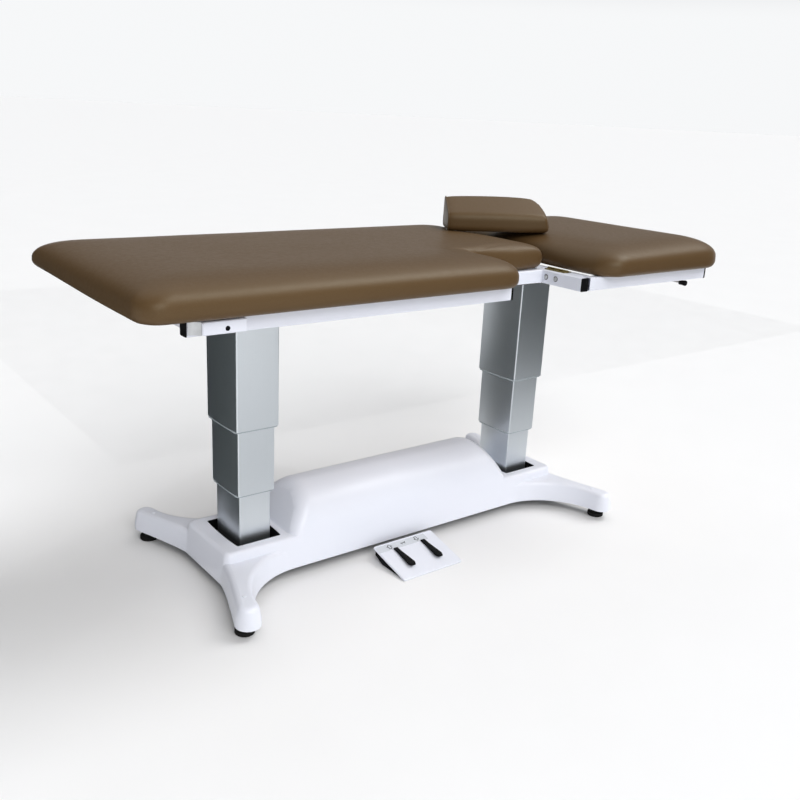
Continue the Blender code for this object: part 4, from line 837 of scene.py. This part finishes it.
def head_pad():
    """Pad of the tilting head section."""
    hinge = HEAD_LOW.x
    end = HEAD_HIGH.x + HEAD_FULLER
    corners = [
        (hinge, -HALF_WIDTH, PAD_CORNER),
        (end, -HALF_WIDTH, HEAD_CORNER),
        (end, HALF_WIDTH, HEAD_CORNER),
        (hinge, HALF_WIDTH, PAD_CORNER),
    ]
    rim = [
        (hinge + PAD_EDGE, PAD_EDGE - HALF_WIDTH, RIM_CORNER),
        (end - PAD_EDGE, PAD_EDGE - HALF_WIDTH, RIM_CORNER),
        (end - PAD_EDGE, HALF_WIDTH - PAD_EDGE, RIM_CORNER),
        (hinge + PAD_EDGE, HALF_WIDTH - PAD_EDGE, RIM_CORNER),
    ]
    bm = pad(corners, rim, HEAD_LOW.z)
    undulate(bm, HEAD_LOW.z)
    climb(bm)
    ease_joint(bm, HEAD_LOW.z, HEAD_LOW.x, 1)
    reach_over(bm)
    piece = add_piece("head_pad", bm, "brown_leatherette", "head")
    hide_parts("head_cushion")


main_pad()
head_pad()


# Pillow

def pillow_section():
    """Outline of the bolster across its length, as (depth, height)."""
    corners = [
        (0, 0, PILLOW_ROUND),
        (PILLOW_DEPTH, 0, PILLOW_ROUND),
        (PILLOW_DEPTH - PILLOW_BACK_SLOPE, PILLOW_BACK_HEIGHT, PILLOW_ROUND),
        (0, PILLOW_FRONT_HEIGHT, PILLOW_NOSE),
    ]
    return rounded_polygon(corners, PILLOW_CORNER_STEPS, PILLOW_CUTS)


def end_setback(s, z):
    """How far the pillow's head-side end leans back from its length, at height z."""
    fade = min(max(2 * s / PILLOW_LENGTH - 1, 0), 1) ** 2
    into = min(max(z - PILLOW_BACK_HEIGHT + PILLOW_END_CORNER, 0), PILLOW_END_CORNER)
    corner = PILLOW_END_CORNER - math.sqrt(PILLOW_END_CORNER ** 2 - into ** 2)
    return fade * (PILLOW_END_LEAN * z + corner)


def pillow_loop(section, normals, place, s, inset, shrink):
    """One ring of the pillow; shrink draws an end panel's ring in towards its middle."""
    points = []
    for (depth, z), n in zip(section, normals):
        d = depth + n.x * inset
        h = z + n.y * inset
        d += (PANEL_MIDDLE_DEPTH - d) * shrink
        h += (PANEL_MIDDLE_HEIGHT - h) * shrink
        points.append(place @ Vector((s - end_setback(s, h), d, max(h, 0.0))))
    return points


# The left end panel and its seam: place along the length, inset, and shrink towards the middle
LEFT_END = [
    (-0.003, 0.004, 0.75), (-0.0025, 0.004, 0.4), (-0.001, 0.004, 0.1),
    (0.0005, 0.002, 0.0), (0.004, 0.0005, 0.0),
]


def pillow_stations():
    """Rings along the bolster: left panel, swollen body, soft right end and right panel."""
    stations = list(LEFT_END)
    start = LEFT_END[-1][0]
    for i in range(1, PILLOW_STEPS):
        t = i / PILLOW_STEPS
        swell = PILLOW_SWELL * math.sin(math.pi * t) ** PILLOW_FULLNESS
        stations.append((start + (PILLOW_LENGTH - start - PILLOW_SOFT_END) * t, -swell, 0.0))
    for i in range(SOFT_END_STEPS + 1):
        angle = math.pi / 2 * i / SOFT_END_STEPS
        s = PILLOW_LENGTH - PILLOW_SOFT_END * (1 - math.sin(angle))
        stations.append((s, SOFT_END_INSET * (1 - math.cos(angle)), 0.0))
    stations.append((PILLOW_LENGTH + 0.001, SOFT_END_INSET, 0.2))
    stations.append((PILLOW_LENGTH + 0.0015, SOFT_END_INSET, 0.7))
    return stations


def piping(name, section, normals, place, s, inset):
    """Round cord in the seam of an end panel."""
    bm = bmesh.new()
    rings = []
    for (depth, z), n in zip(section, normals):
        lift = max(z + n.y * inset, PIPING_RADIUS + PIPING_LIFT)
        centre = Vector((s - end_setback(s, lift), depth + n.x * inset, lift))
        ring = []
        for k in range(PIPING_STEPS):
            angle = 2 * math.pi * k / PIPING_STEPS
            out = Vector((math.cos(angle), -n.x * math.sin(angle), -n.y * math.sin(angle)))
            ring.append(place @ (centre + out * PIPING_RADIUS))
        rings.append(ring)
    loft(bm, rings, closed=True)
    piece = add_piece(name, bm, "brown_leatherette", "bolster")


def pillow():
    """Bolster with a flat and a soft end, piped seams and a slightly swollen body."""
    section = pillow_section()
    normals = inward_normals(section)
    turn = Matrix.Rotation(-PILLOW_TILT, 4, "Y") @ Matrix.Rotation(PILLOW_TURN, 4, "Z")
    place = Matrix.Translation(PILLOW_PLACE) @ turn
    bm = bmesh.new()
    loft(bm, [pillow_loop(section, normals, place, *station) for station in pillow_stations()])
    body = add_piece("pillow_cover", bm, "brown_leatherette", "bolster")
    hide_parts("pillow")
    piping("pillow_piping_left", section, normals, place, 0.001, 0.0)
    piping("pillow_piping_right", section, normals, place, PILLOW_LENGTH, SOFT_END_INSET + PIPING_RADIUS)


pillow()


# Trim

def turned(name, profile, place, axis, look, body):
    """Turn a (radius, height) profile, closed at both ends, about an axis that starts at place."""
    upright = Vector(axis).to_track_quat("Z", "Y").to_matrix().to_4x4()
    seat = Matrix.Translation(place) @ upright
    bm = bmesh.new()
    rings = []
    for radius, height in profile:
        circle = arc((0, 0), radius, 0, 2 * math.pi, TURN_STEPS)[:-1]
        rings.append([seat @ Vector((*point, height)) for point in circle])
    loft(bm, rings)
    add_piece(name, bm, look, body)


def slab(name, outline, levels, chamfer, place, look, body, slot=None):
    """Flat piece between two levels with a chamfered upper edge, in the place's own plane."""
    low, high = levels
    normals = inward_normals(outline)
    bm = bmesh.new()
    rings = []
    for inset, height in ((0, low), (0, high - chamfer), (chamfer, high)):
        points = []
        for (x, y), n in zip(outline, normals):
            points.append(place @ Vector((x + n.x * inset, y + n.y * inset, height)))
        rings.append(points)
    loft(bm, rings)
    add_piece(name, bm, look, body, smooth=False)


def rounded_box(low, high, radius, segments=5, cuts=(0, 0, 0, 0)):
    corners = [(low[0], low[1]), (high[0], low[1]), (high[0], high[1]), (low[0], high[1])]
    return rounded_polygon([(x, y, radius) for x, y in corners], segments, cuts)


def surface_at(name, x, y):
    """Highest point of a node above the spot (x, y), with its normal."""
    mesh = nodes[name].data
    tree = BVHTree.FromPolygons([v.co for v in mesh.vertices], [p.vertices for p in mesh.polygons])
    place, normal, _, _ = tree.ray_cast(Vector((x, y, 2.0)), Vector((0, 0, -1)))
    return place, normal


# Section of a glide: gap to the inner tube, and height from the outer tube's lower edge
GLIDE = [(0.0006, 0.0004), (0.0006, -0.0040), (0.0040, -0.0050), (0.0058, -0.0042), (0.0064, 0.0004)]


def glide_rings():
    """Grey plastic glides that close the gap between two column tubes."""
    for end in ("foot", "head"):
        for outer, inner, body in (("upper", "middle", "lift"), ("middle", "lower", f"{end}_middle")):
            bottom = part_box(f"{outer}_tube_{end}")[0].z
            low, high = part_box(f"{inner}_tube_{end}")
            bm = bmesh.new()
            loops = []
            for gap, z in GLIDE:
                a = (low.x - gap, low.y - gap)
                b = (high.x + gap, high.y + gap)
                loops.append([(x, y, bottom + z) for x, y in rounded_box(a, b, GLIDE_CORNER + gap)])
            loft(bm, loops, closed=True)
            add_piece(f"glide_{outer}_{end}", bm, "grey_plastic", body)


# Turned profiles, as (radius, height)
DOME_HEAD = [
    (0.0066, 0.0006), (0.0066, 0.0016), (0.0061, 0.0030), (0.0048, 0.0042),
    (0.0031, 0.0048), (0.0027, 0.0046), (0.0024, 0.0032), (0.0010, 0.0030),
]
# Dark washer under each dome bolt head; its dark paints the shade round the head
SHADE_WASHER = [(0.0050, -0.0005), (0.0084, -0.0005), (0.0084, 0.0006), (0.0080, 0.0010), (0.0050, 0.0010)]
# Black disc in the bracket's hole; its black paints the shade inside the hole
HOLE_SHADE_DISC = [(0.0056, -0.0004), (0.0056, 0.0003), (0.0048, 0.0007), (0.0040, 0.0002), (0.0010, 0.0001)]
PLUG = [(0.0062, -0.0010), (0.0062, 0.0004), (0.0054, 0.0012), (0.0030, 0.0015), (0.0010, 0.0016)]
LEVER_KNOB = [
    (0.0040, -0.0004), (0.0078, 0.0004), (0.0081, 0.0020), (0.0079, 0.0120), (0.0090, 0.0190),
    (0.0092, 0.0225), (0.0082, 0.0243), (0.0040, 0.0250), (0.0010, 0.0251),
]


def fasteners():
    """Dome-head bolts on dark washers that paint the shade round their heads, a black disc that paints the
    shade inside the bracket's hole, leg plugs and the lever's knob.
    """
    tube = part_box("hinge_cross_tube")[0]
    # The dark washers paint the shade round the bolt heads
    for i, y in enumerate(BOLT_ROWS):
        place = (tube.x, y, tube.z + BOLT_HEIGHT)
        turned(f"bolt_shade_washer_{i + 1}", SHADE_WASHER, place, (-1, 0, 0), "dark_steel", "lift")
        turned(f"dome_bolt_{i + 1}", DOME_HEAD, place, (-1, 0, 0), "zinc_steel", "lift")
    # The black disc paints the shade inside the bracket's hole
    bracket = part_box("accessory_bracket")[0]
    place = (bracket.x + HOLE_SHADE_ALONG, bracket.y, bracket.z + HOLE_SHADE_HEIGHT)
    turned("bracket_hole_shade", HOLE_SHADE_DISC, place, (0, -1, 0), "black_plastic", "lift")
    low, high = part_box("base_cover")
    for side, x in (("left", low.x + PLUG_INSET.x), ("right", high.x - PLUG_INSET.x)):
        for face, y in (("front", low.y + PLUG_INSET.y), ("back", high.y - PLUG_INSET.y)):
            place, normal = surface_at("base_cover", x, y)
            turned(f"leg_plug_{face}_{side}", PLUG, place, normal, "white_moulding", "base")
    low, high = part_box("release_lever")
    place = ((low.x + high.x) / 2, low.y + KNOB_START, (low.z + high.z) / 2)
    turned("lever_knob", LEVER_KNOB, place, (0, -1, 0), "black_plastic", "lever")


def cap_rims():
    """Rims of the black caps that stand past their tubes."""
    caps = {"front_rail_cap_head": "lift", "head_rail_cap_front": "head", "head_rail_cap_back": "head"}
    across = Matrix(((0, 0, 1, 0), (1, 0, 0, 0), (0, 1, 0, 0), (0, 0, 0, 1)))
    for name, body in caps.items():
        low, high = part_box(name)
        place = Matrix.Translation((high.x, 0, 0)) @ across
        a = (low.y - CAP_PROUD, low.z - CAP_PROUD)
        b = (high.y + CAP_PROUD, high.z + CAP_TOP_PROUD)
        outline = rounded_box(a, b, CAP_CORNER)
        slab(f"{name}_rim", outline, CAP_RIM, CAP_CHAMFER, place, "black_plastic", body)


def rail_clamp():
    """Steel clamp that widens from the front rail's foot-end cap to the accessory bracket."""
    cap_low, cap_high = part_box("front_rail_cap_foot")
    face = cap_low.y
    start = cap_low.x + CLAMP_CURVE_START
    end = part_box("accessory_bracket")[0].x
    outline = [(cap_low.x + CLAMP_START, face), (cap_low.x + CLAMP_START, face - CLAMP_STEP)]
    for i in range(CLAMP_CURVE_STEPS + 1):
        t = i / CLAMP_CURVE_STEPS
        x = start + (end - CLAMP_CURVE_END - start) * t
        outline.append((x, face - CLAMP_THIN - CLAMP_GROWTH * t ** CLAMP_CURVE))
    outline.append((end - CLAMP_GAP, face - CLAMP_THIN - CLAMP_GROWTH))
    outline.append((end - CLAMP_GAP, face))
    outline.reverse()
    place = Matrix.Translation((0, 0, (cap_low.z + cap_high.z) / 2))
    levels = (-CLAMP_HALF_HEIGHT, CLAMP_HALF_HEIGHT)
    slab("rail_clamp", outline, levels, CLAMP_CHAMFER, place, "zinc_steel", "lift")


def weld(name, loop, out_of, body):
    """Bead of weld round a tube's end, a little uneven along its way."""
    out_of = Vector(out_of)
    bm = bmesh.new()
    count = len(loop)
    rings = []
    for i in range(count):
        here = Vector(loop[i])
        along = (Vector(loop[(i + 1) % count]) - Vector(loop[i - 1])).normalized()
        side = along.cross(out_of).normalized()
        size = WELD_RADIUS * (1 + sum(share * math.sin(i * pace) for share, pace in WELD_UNEVENNESS))
        ring = []
        for k in range(WELD_STEPS):
            angle = 2 * math.pi * k / WELD_STEPS
            ring.append(here + (side * math.cos(angle) + out_of * math.sin(angle)) * size)
        rings.append(ring)
    loft(bm, rings, closed=True)
    add_piece(name, bm, "white_enamel", body)


def tube_outline(low, high):
    return rounded_box(low, high, TUBE_CORNER, SMALL_CORNER_STEPS, TUBE_CUTS)


def welds():
    """Beads where the frame's tubes meet."""
    for side in ("front", "back"):
        low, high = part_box(f"inner_rail_{side}")
        for end, x in (("foot", low.x), ("head", high.x)):
            loop = [(x, y, z) for y, z in tube_outline((low.y, low.z), (high.y, high.z))]
            weld(f"weld_inner_{side}_{end}", loop, (1, 0, 0), "lift")
    for node, body in (("front_stub_tube", "lift"), ("foot_cross_tube", "lift"), ("head_end_tube", "head")):
        low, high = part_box(node)
        for end, y in (("front", low.y), ("back", high.y)):
            loop = [(x, y, z) for x, z in tube_outline((low.x, high.z - TUBE_HEIGHT), (high.x, high.z))]
            weld(f"weld_{node}_{end}", loop, (0, 1, 0), body)


SWITCH_PLACE = Matrix.Translation(SWITCH_ORIGIN) @ Matrix.Rotation(SWITCH_SLOPE, 4, "X")
ARROW = [
    (0.0, 0.0095), (-0.0105, -0.0004), (-0.0052, -0.0004), (-0.0052, -0.0095),
    (0.0052, -0.0095), (0.0052, -0.0004), (0.0105, -0.0004),
]
COUCH = [
    (-0.0090, -0.0005), (-0.0060, -0.0005), (-0.0060, -0.0050), (-0.0040, -0.0050), (-0.0040, -0.0005),
    (0.0040, -0.0005), (0.0040, -0.0050), (0.0060, -0.0050), (0.0060, -0.0005), (0.0090, 0.0032),
    (0.0074, 0.0044), (0.0048, 0.0016), (-0.0090, 0.0016),
]
SIGNS = (("up", ARROW, -0.062, 1), ("couch", COUCH, -0.012, 1), ("down", ARROW, 0.038, -1))


def anticlockwise(outline):
    """The outline, reversed if it runs clockwise."""
    area = sum(a[0] * b[1] - b[0] * a[1] for a, b in zip(outline, outline[1:] + outline[:1]))
    return outline if area > 0 else outline[::-1]


def switch_signs():
    """Printed strip with plain up, couch and down signs; the arrows are outlined."""
    strip = rounded_box(STRIP_LOW, STRIP_HIGH, STRIP_CORNER)
    film = ("grey_film", "base", "white_moulding")
    slab("switch_strip", strip, STRIP_LEVELS, STRIP_CHAMFER, SWITCH_PLACE, *film)
    for name, shape, middle, way in SIGNS:
        sign = f"switch_sign_{name}"
        outline = anticlockwise([(middle + x * way, SIGN_LINE + y * way) for x, y in shape])
        slab(sign, outline, SIGN_LEVELS, SIGN_CHAMFER, SWITCH_PLACE, "dark_steel", "base")
        if shape is ARROW:
            inner = []
            for (x, y), n in zip(outline, inward_normals(outline)):
                inner.append((x + n.x * SIGN_OUTLINE, y + n.y * SIGN_OUTLINE))
            slab(f"{sign}_field", inner, FIELD_LEVELS, SIGN_CHAMFER, SWITCH_PLACE, *film)


def pedal_ribs():
    """Rubber ribs across the pedals' treads."""
    for way in ("up", "down"):
        node = f"pedal_{way}"
        low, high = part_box(node)
        middle = (low.x + high.x) / 2
        for i in range(RIBS):
            spot, normal = surface_at(node, middle, low.y + RIB_START + RIB_SPACING * i)
            place = Matrix.Translation(spot) @ normal.to_track_quat("Z", "Y").to_matrix().to_4x4()
            half = RIB_HALF_LENGTH - RIB_SHORTER * i
            corner = Vector((half, RIB_HALF_WIDTH))
            outline = rounded_box(-corner, corner, RIB_CORNER, SMALL_CORNER_STEPS)
            name = f"pedal_rib_{way}_{i + 1}"
            slab(name, outline, RIB_LEVELS, RIB_CHAMFER, place, "black_rubber", f"{way}_pedal")


def inlet_pins():
    """Three flat pins inside the mains inlet."""
    low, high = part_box("mains_inlet")
    corner = Vector(PIN_HALF)
    outline = rounded_box(-corner, corner, PIN_CORNER, SMALL_CORNER_STEPS)
    for name, dx, dz in (("live", -0.007, -0.002), ("earth", 0.0, 0.003), ("neutral", 0.007, -0.002)):
        spot = ((low.x + high.x) / 2 + dx, high.y - PIN_DEPTH, INLET_HEIGHT + dz)
        place = Matrix.Translation(spot) @ Matrix.Rotation(-math.pi / 2, 4, "X")
        slab(f"inlet_pin_{name}", outline, PIN_LEVELS, PIN_CHAMFER, place, "brass", "base")


glide_rings()
fasteners()
cap_rims()
rail_clamp()
welds()
switch_signs()
pedal_ribs()
inlet_pins()


# Studio

def soft_sun(name, towards, spread, strength):
    """Even white light from one side of the sky; spread is the angle in degrees that the source fills."""
    data = bpy.data.lights.new(name, "SUN")
    data.energy = strength
    data.angle = math.radians(spread)
    light = bpy.data.objects.new(name, data)
    light.rotation_euler = Vector(towards).to_track_quat("-Z", "Y").to_euler()
    bpy.context.scene.collection.objects.link(light)


def pale_surroundings():
    """Pale round the horizon, so that the floor has no edge, dimmer above and bright high up behind."""
    world = bpy.data.worlds.new("studio")
    bpy.context.scene.world = world
    world.use_nodes = True
    tree = world.node_tree
    place = tree.nodes.new("ShaderNodeTexCoord").outputs["Generated"]

    def along(direction):
        node = tree.nodes.new("ShaderNodeVectorMath")
        node.operation = "DOT_PRODUCT"
        node.inputs[1].default_value = direction
        tree.links.new(place, node.inputs[0])
        return node.outputs["Value"]

    def ranged(value, fade, low, high):
        node = tree.nodes.new("ShaderNodeMapRange")
        node.interpolation_type = "SMOOTHSTEP"
        settings = (("From Min", fade[0]), ("From Max", fade[1]), ("To Min", low), ("To Max", high))
        for name, setting in settings:
            node.inputs[name].default_value = setting
        tree.links.new(value, node.inputs["Value"])
        return node.outputs["Result"]

    def combined(operation, a, b):
        node = tree.nodes.new("ShaderNodeMath")
        node.operation = operation
        tree.links.new(a, node.inputs[0])
        tree.links.new(b, node.inputs[1])
        return node.outputs["Value"]

    height = along((0.0, 0.0, 1.0))
    horizon = ranged(height, HORIZON_FADE, SURROUND_LEVEL, MIDDLE_LEVEL)
    high_up = ranged(height, HIGH_FADE, 0.0, 1.0)
    behind = ranged(along(BEHIND), BEHIND_FADE, 0.0, SKY_LEVEL - MIDDLE_LEVEL)
    strength = combined("ADD", horizon, combined("MULTIPLY", behind, high_up))
    background = tree.nodes["Background"]
    background.inputs["Color"].default_value = (*SURROUND_COLOUR, 1.0)
    tree.links.new(strength, background.inputs["Strength"])


def stage_piece(name, bm, material):
    """Make a piece of the studio, which isn't part of the couch."""
    mesh = bpy.data.meshes.new(name)
    bm.to_mesh(mesh)
    bm.free()
    mesh.materials.append(material)
    piece = bpy.data.objects.new(name, mesh)
    bpy.context.scene.collection.objects.link(piece)
    return piece


def floor():
    """Pale matt floor with a faint drift in tone and gloss."""
    g = Graph("pale_floor", (0.89, 0.89, 0.895), 0.6)
    g.colour(g.tones(g.noise(even(2.0)), (0.885, 0.885, 0.89), (0.895, 0.895, 0.90)))
    g.roughness(g.span(g.noise(even(8.0)), 0.55, 0.65))
    bm = bmesh.new()
    bmesh.ops.create_circle(bm, cap_ends=True, radius=FLOOR_RADIUS, segments=64)
    stage_piece("floor", bm, g.material)


def card_look(name, colour, first, second):
    g = Graph(name, colour, 0.9)
    g.colour(g.tones(g.noise(even(1.5)), first, second))
    return g.material


# Corners of each card; the left one has two more, for a second face that stands on its back edge
CARDS = {
    "card_left": [
        (-1.31, -0.23, 0.002), (-0.02, 0.44, 0.002), (-0.20, 0.80, 0.002), (-1.49, 0.13, 0.002),
        (-1.49, 0.13, 0.80), (-0.20, 0.80, 0.80),
    ],
    "card_foot": [(-2.2, 0.30, 0.55), (-0.95, 1.04, 0.55), (-0.95, 1.04, 1.9), (-2.2, 0.30, 1.9)],
    "card_front": [(-0.75, -1.75, 0.001), (2.4, -1.75, 0.001), (2.4, -0.42, 0.001), (-0.75, -0.42, 0.001)],
    "card_back": [(-0.6, 0.9, 0.001), (4.2, 0.9, 0.001), (4.2, 4.2, 0.001), (-0.6, 4.2, 0.001)],
    "card_right": [(0.75, -1.75, 0.01), (2.0, -0.5, 0.01), (2.0, -0.5, 1.4), (0.75, -1.75, 1.4)],
}


def cards():
    """Cards that only reflections see, for the darker bands in bare metal and under the pads' edges."""
    grey = card_look("grey_card", (0.51, 0.52, 0.53), (0.49, 0.50, 0.51), (0.53, 0.54, 0.55))
    dark = card_look("dark_card", (0.03, 0.04, 0.042), (0.024, 0.033, 0.035), (0.034, 0.045, 0.047))
    for name, corners in CARDS.items():
        bm = bmesh.new()
        verts = [bm.verts.new(corner) for corner in corners]
        bm.faces.new(verts[:4])
        if len(verts) > 4:
            bm.faces.new((verts[3], verts[2], verts[5], verts[4]))
        card = stage_piece(name, bm, grey if name == "card_front" else dark)
        card.visible_camera = False
        card.visible_diffuse = False
        card.visible_shadow = False
        card.visible_transmission = False


def camera():
    """Camera at the photograph's place, turned by its yaw, pitch and roll."""
    forward = Vector((
        math.sin(CAMERA_YAW) * math.cos(CAMERA_PITCH),
        math.cos(CAMERA_YAW) * math.cos(CAMERA_PITCH),
        -math.sin(CAMERA_PITCH),
    ))
    level = Vector((math.cos(CAMERA_YAW), -math.sin(CAMERA_YAW), 0.0))
    upright = level.cross(forward)
    right = level * math.cos(CAMERA_ROLL) + upright * math.sin(CAMERA_ROLL)
    up = upright * math.cos(CAMERA_ROLL) - level * math.sin(CAMERA_ROLL)
    data = bpy.data.cameras.new("photo_camera")
    data.sensor_fit = "HORIZONTAL"
    data.sensor_width = SENSOR
    data.lens = CAMERA_LENS
    eye = bpy.data.objects.new("photo_camera", data)
    axes = Matrix((right, up, -forward)).transposed().to_4x4()
    eye.matrix_world = Matrix.Translation(CAMERA_PLACE) @ axes
    bpy.context.scene.collection.objects.link(eye)
    bpy.context.scene.camera = eye
    bpy.context.scene.view_settings.view_transform = "Standard"


camera()
pale_surroundings()
soft_sun("overhead", (-0.55, 0.15, -0.82), 38.0, 1.6)
soft_sun("key", (0.14, 0.76, -0.63), 40.0, 1.62)
floor()
cards()
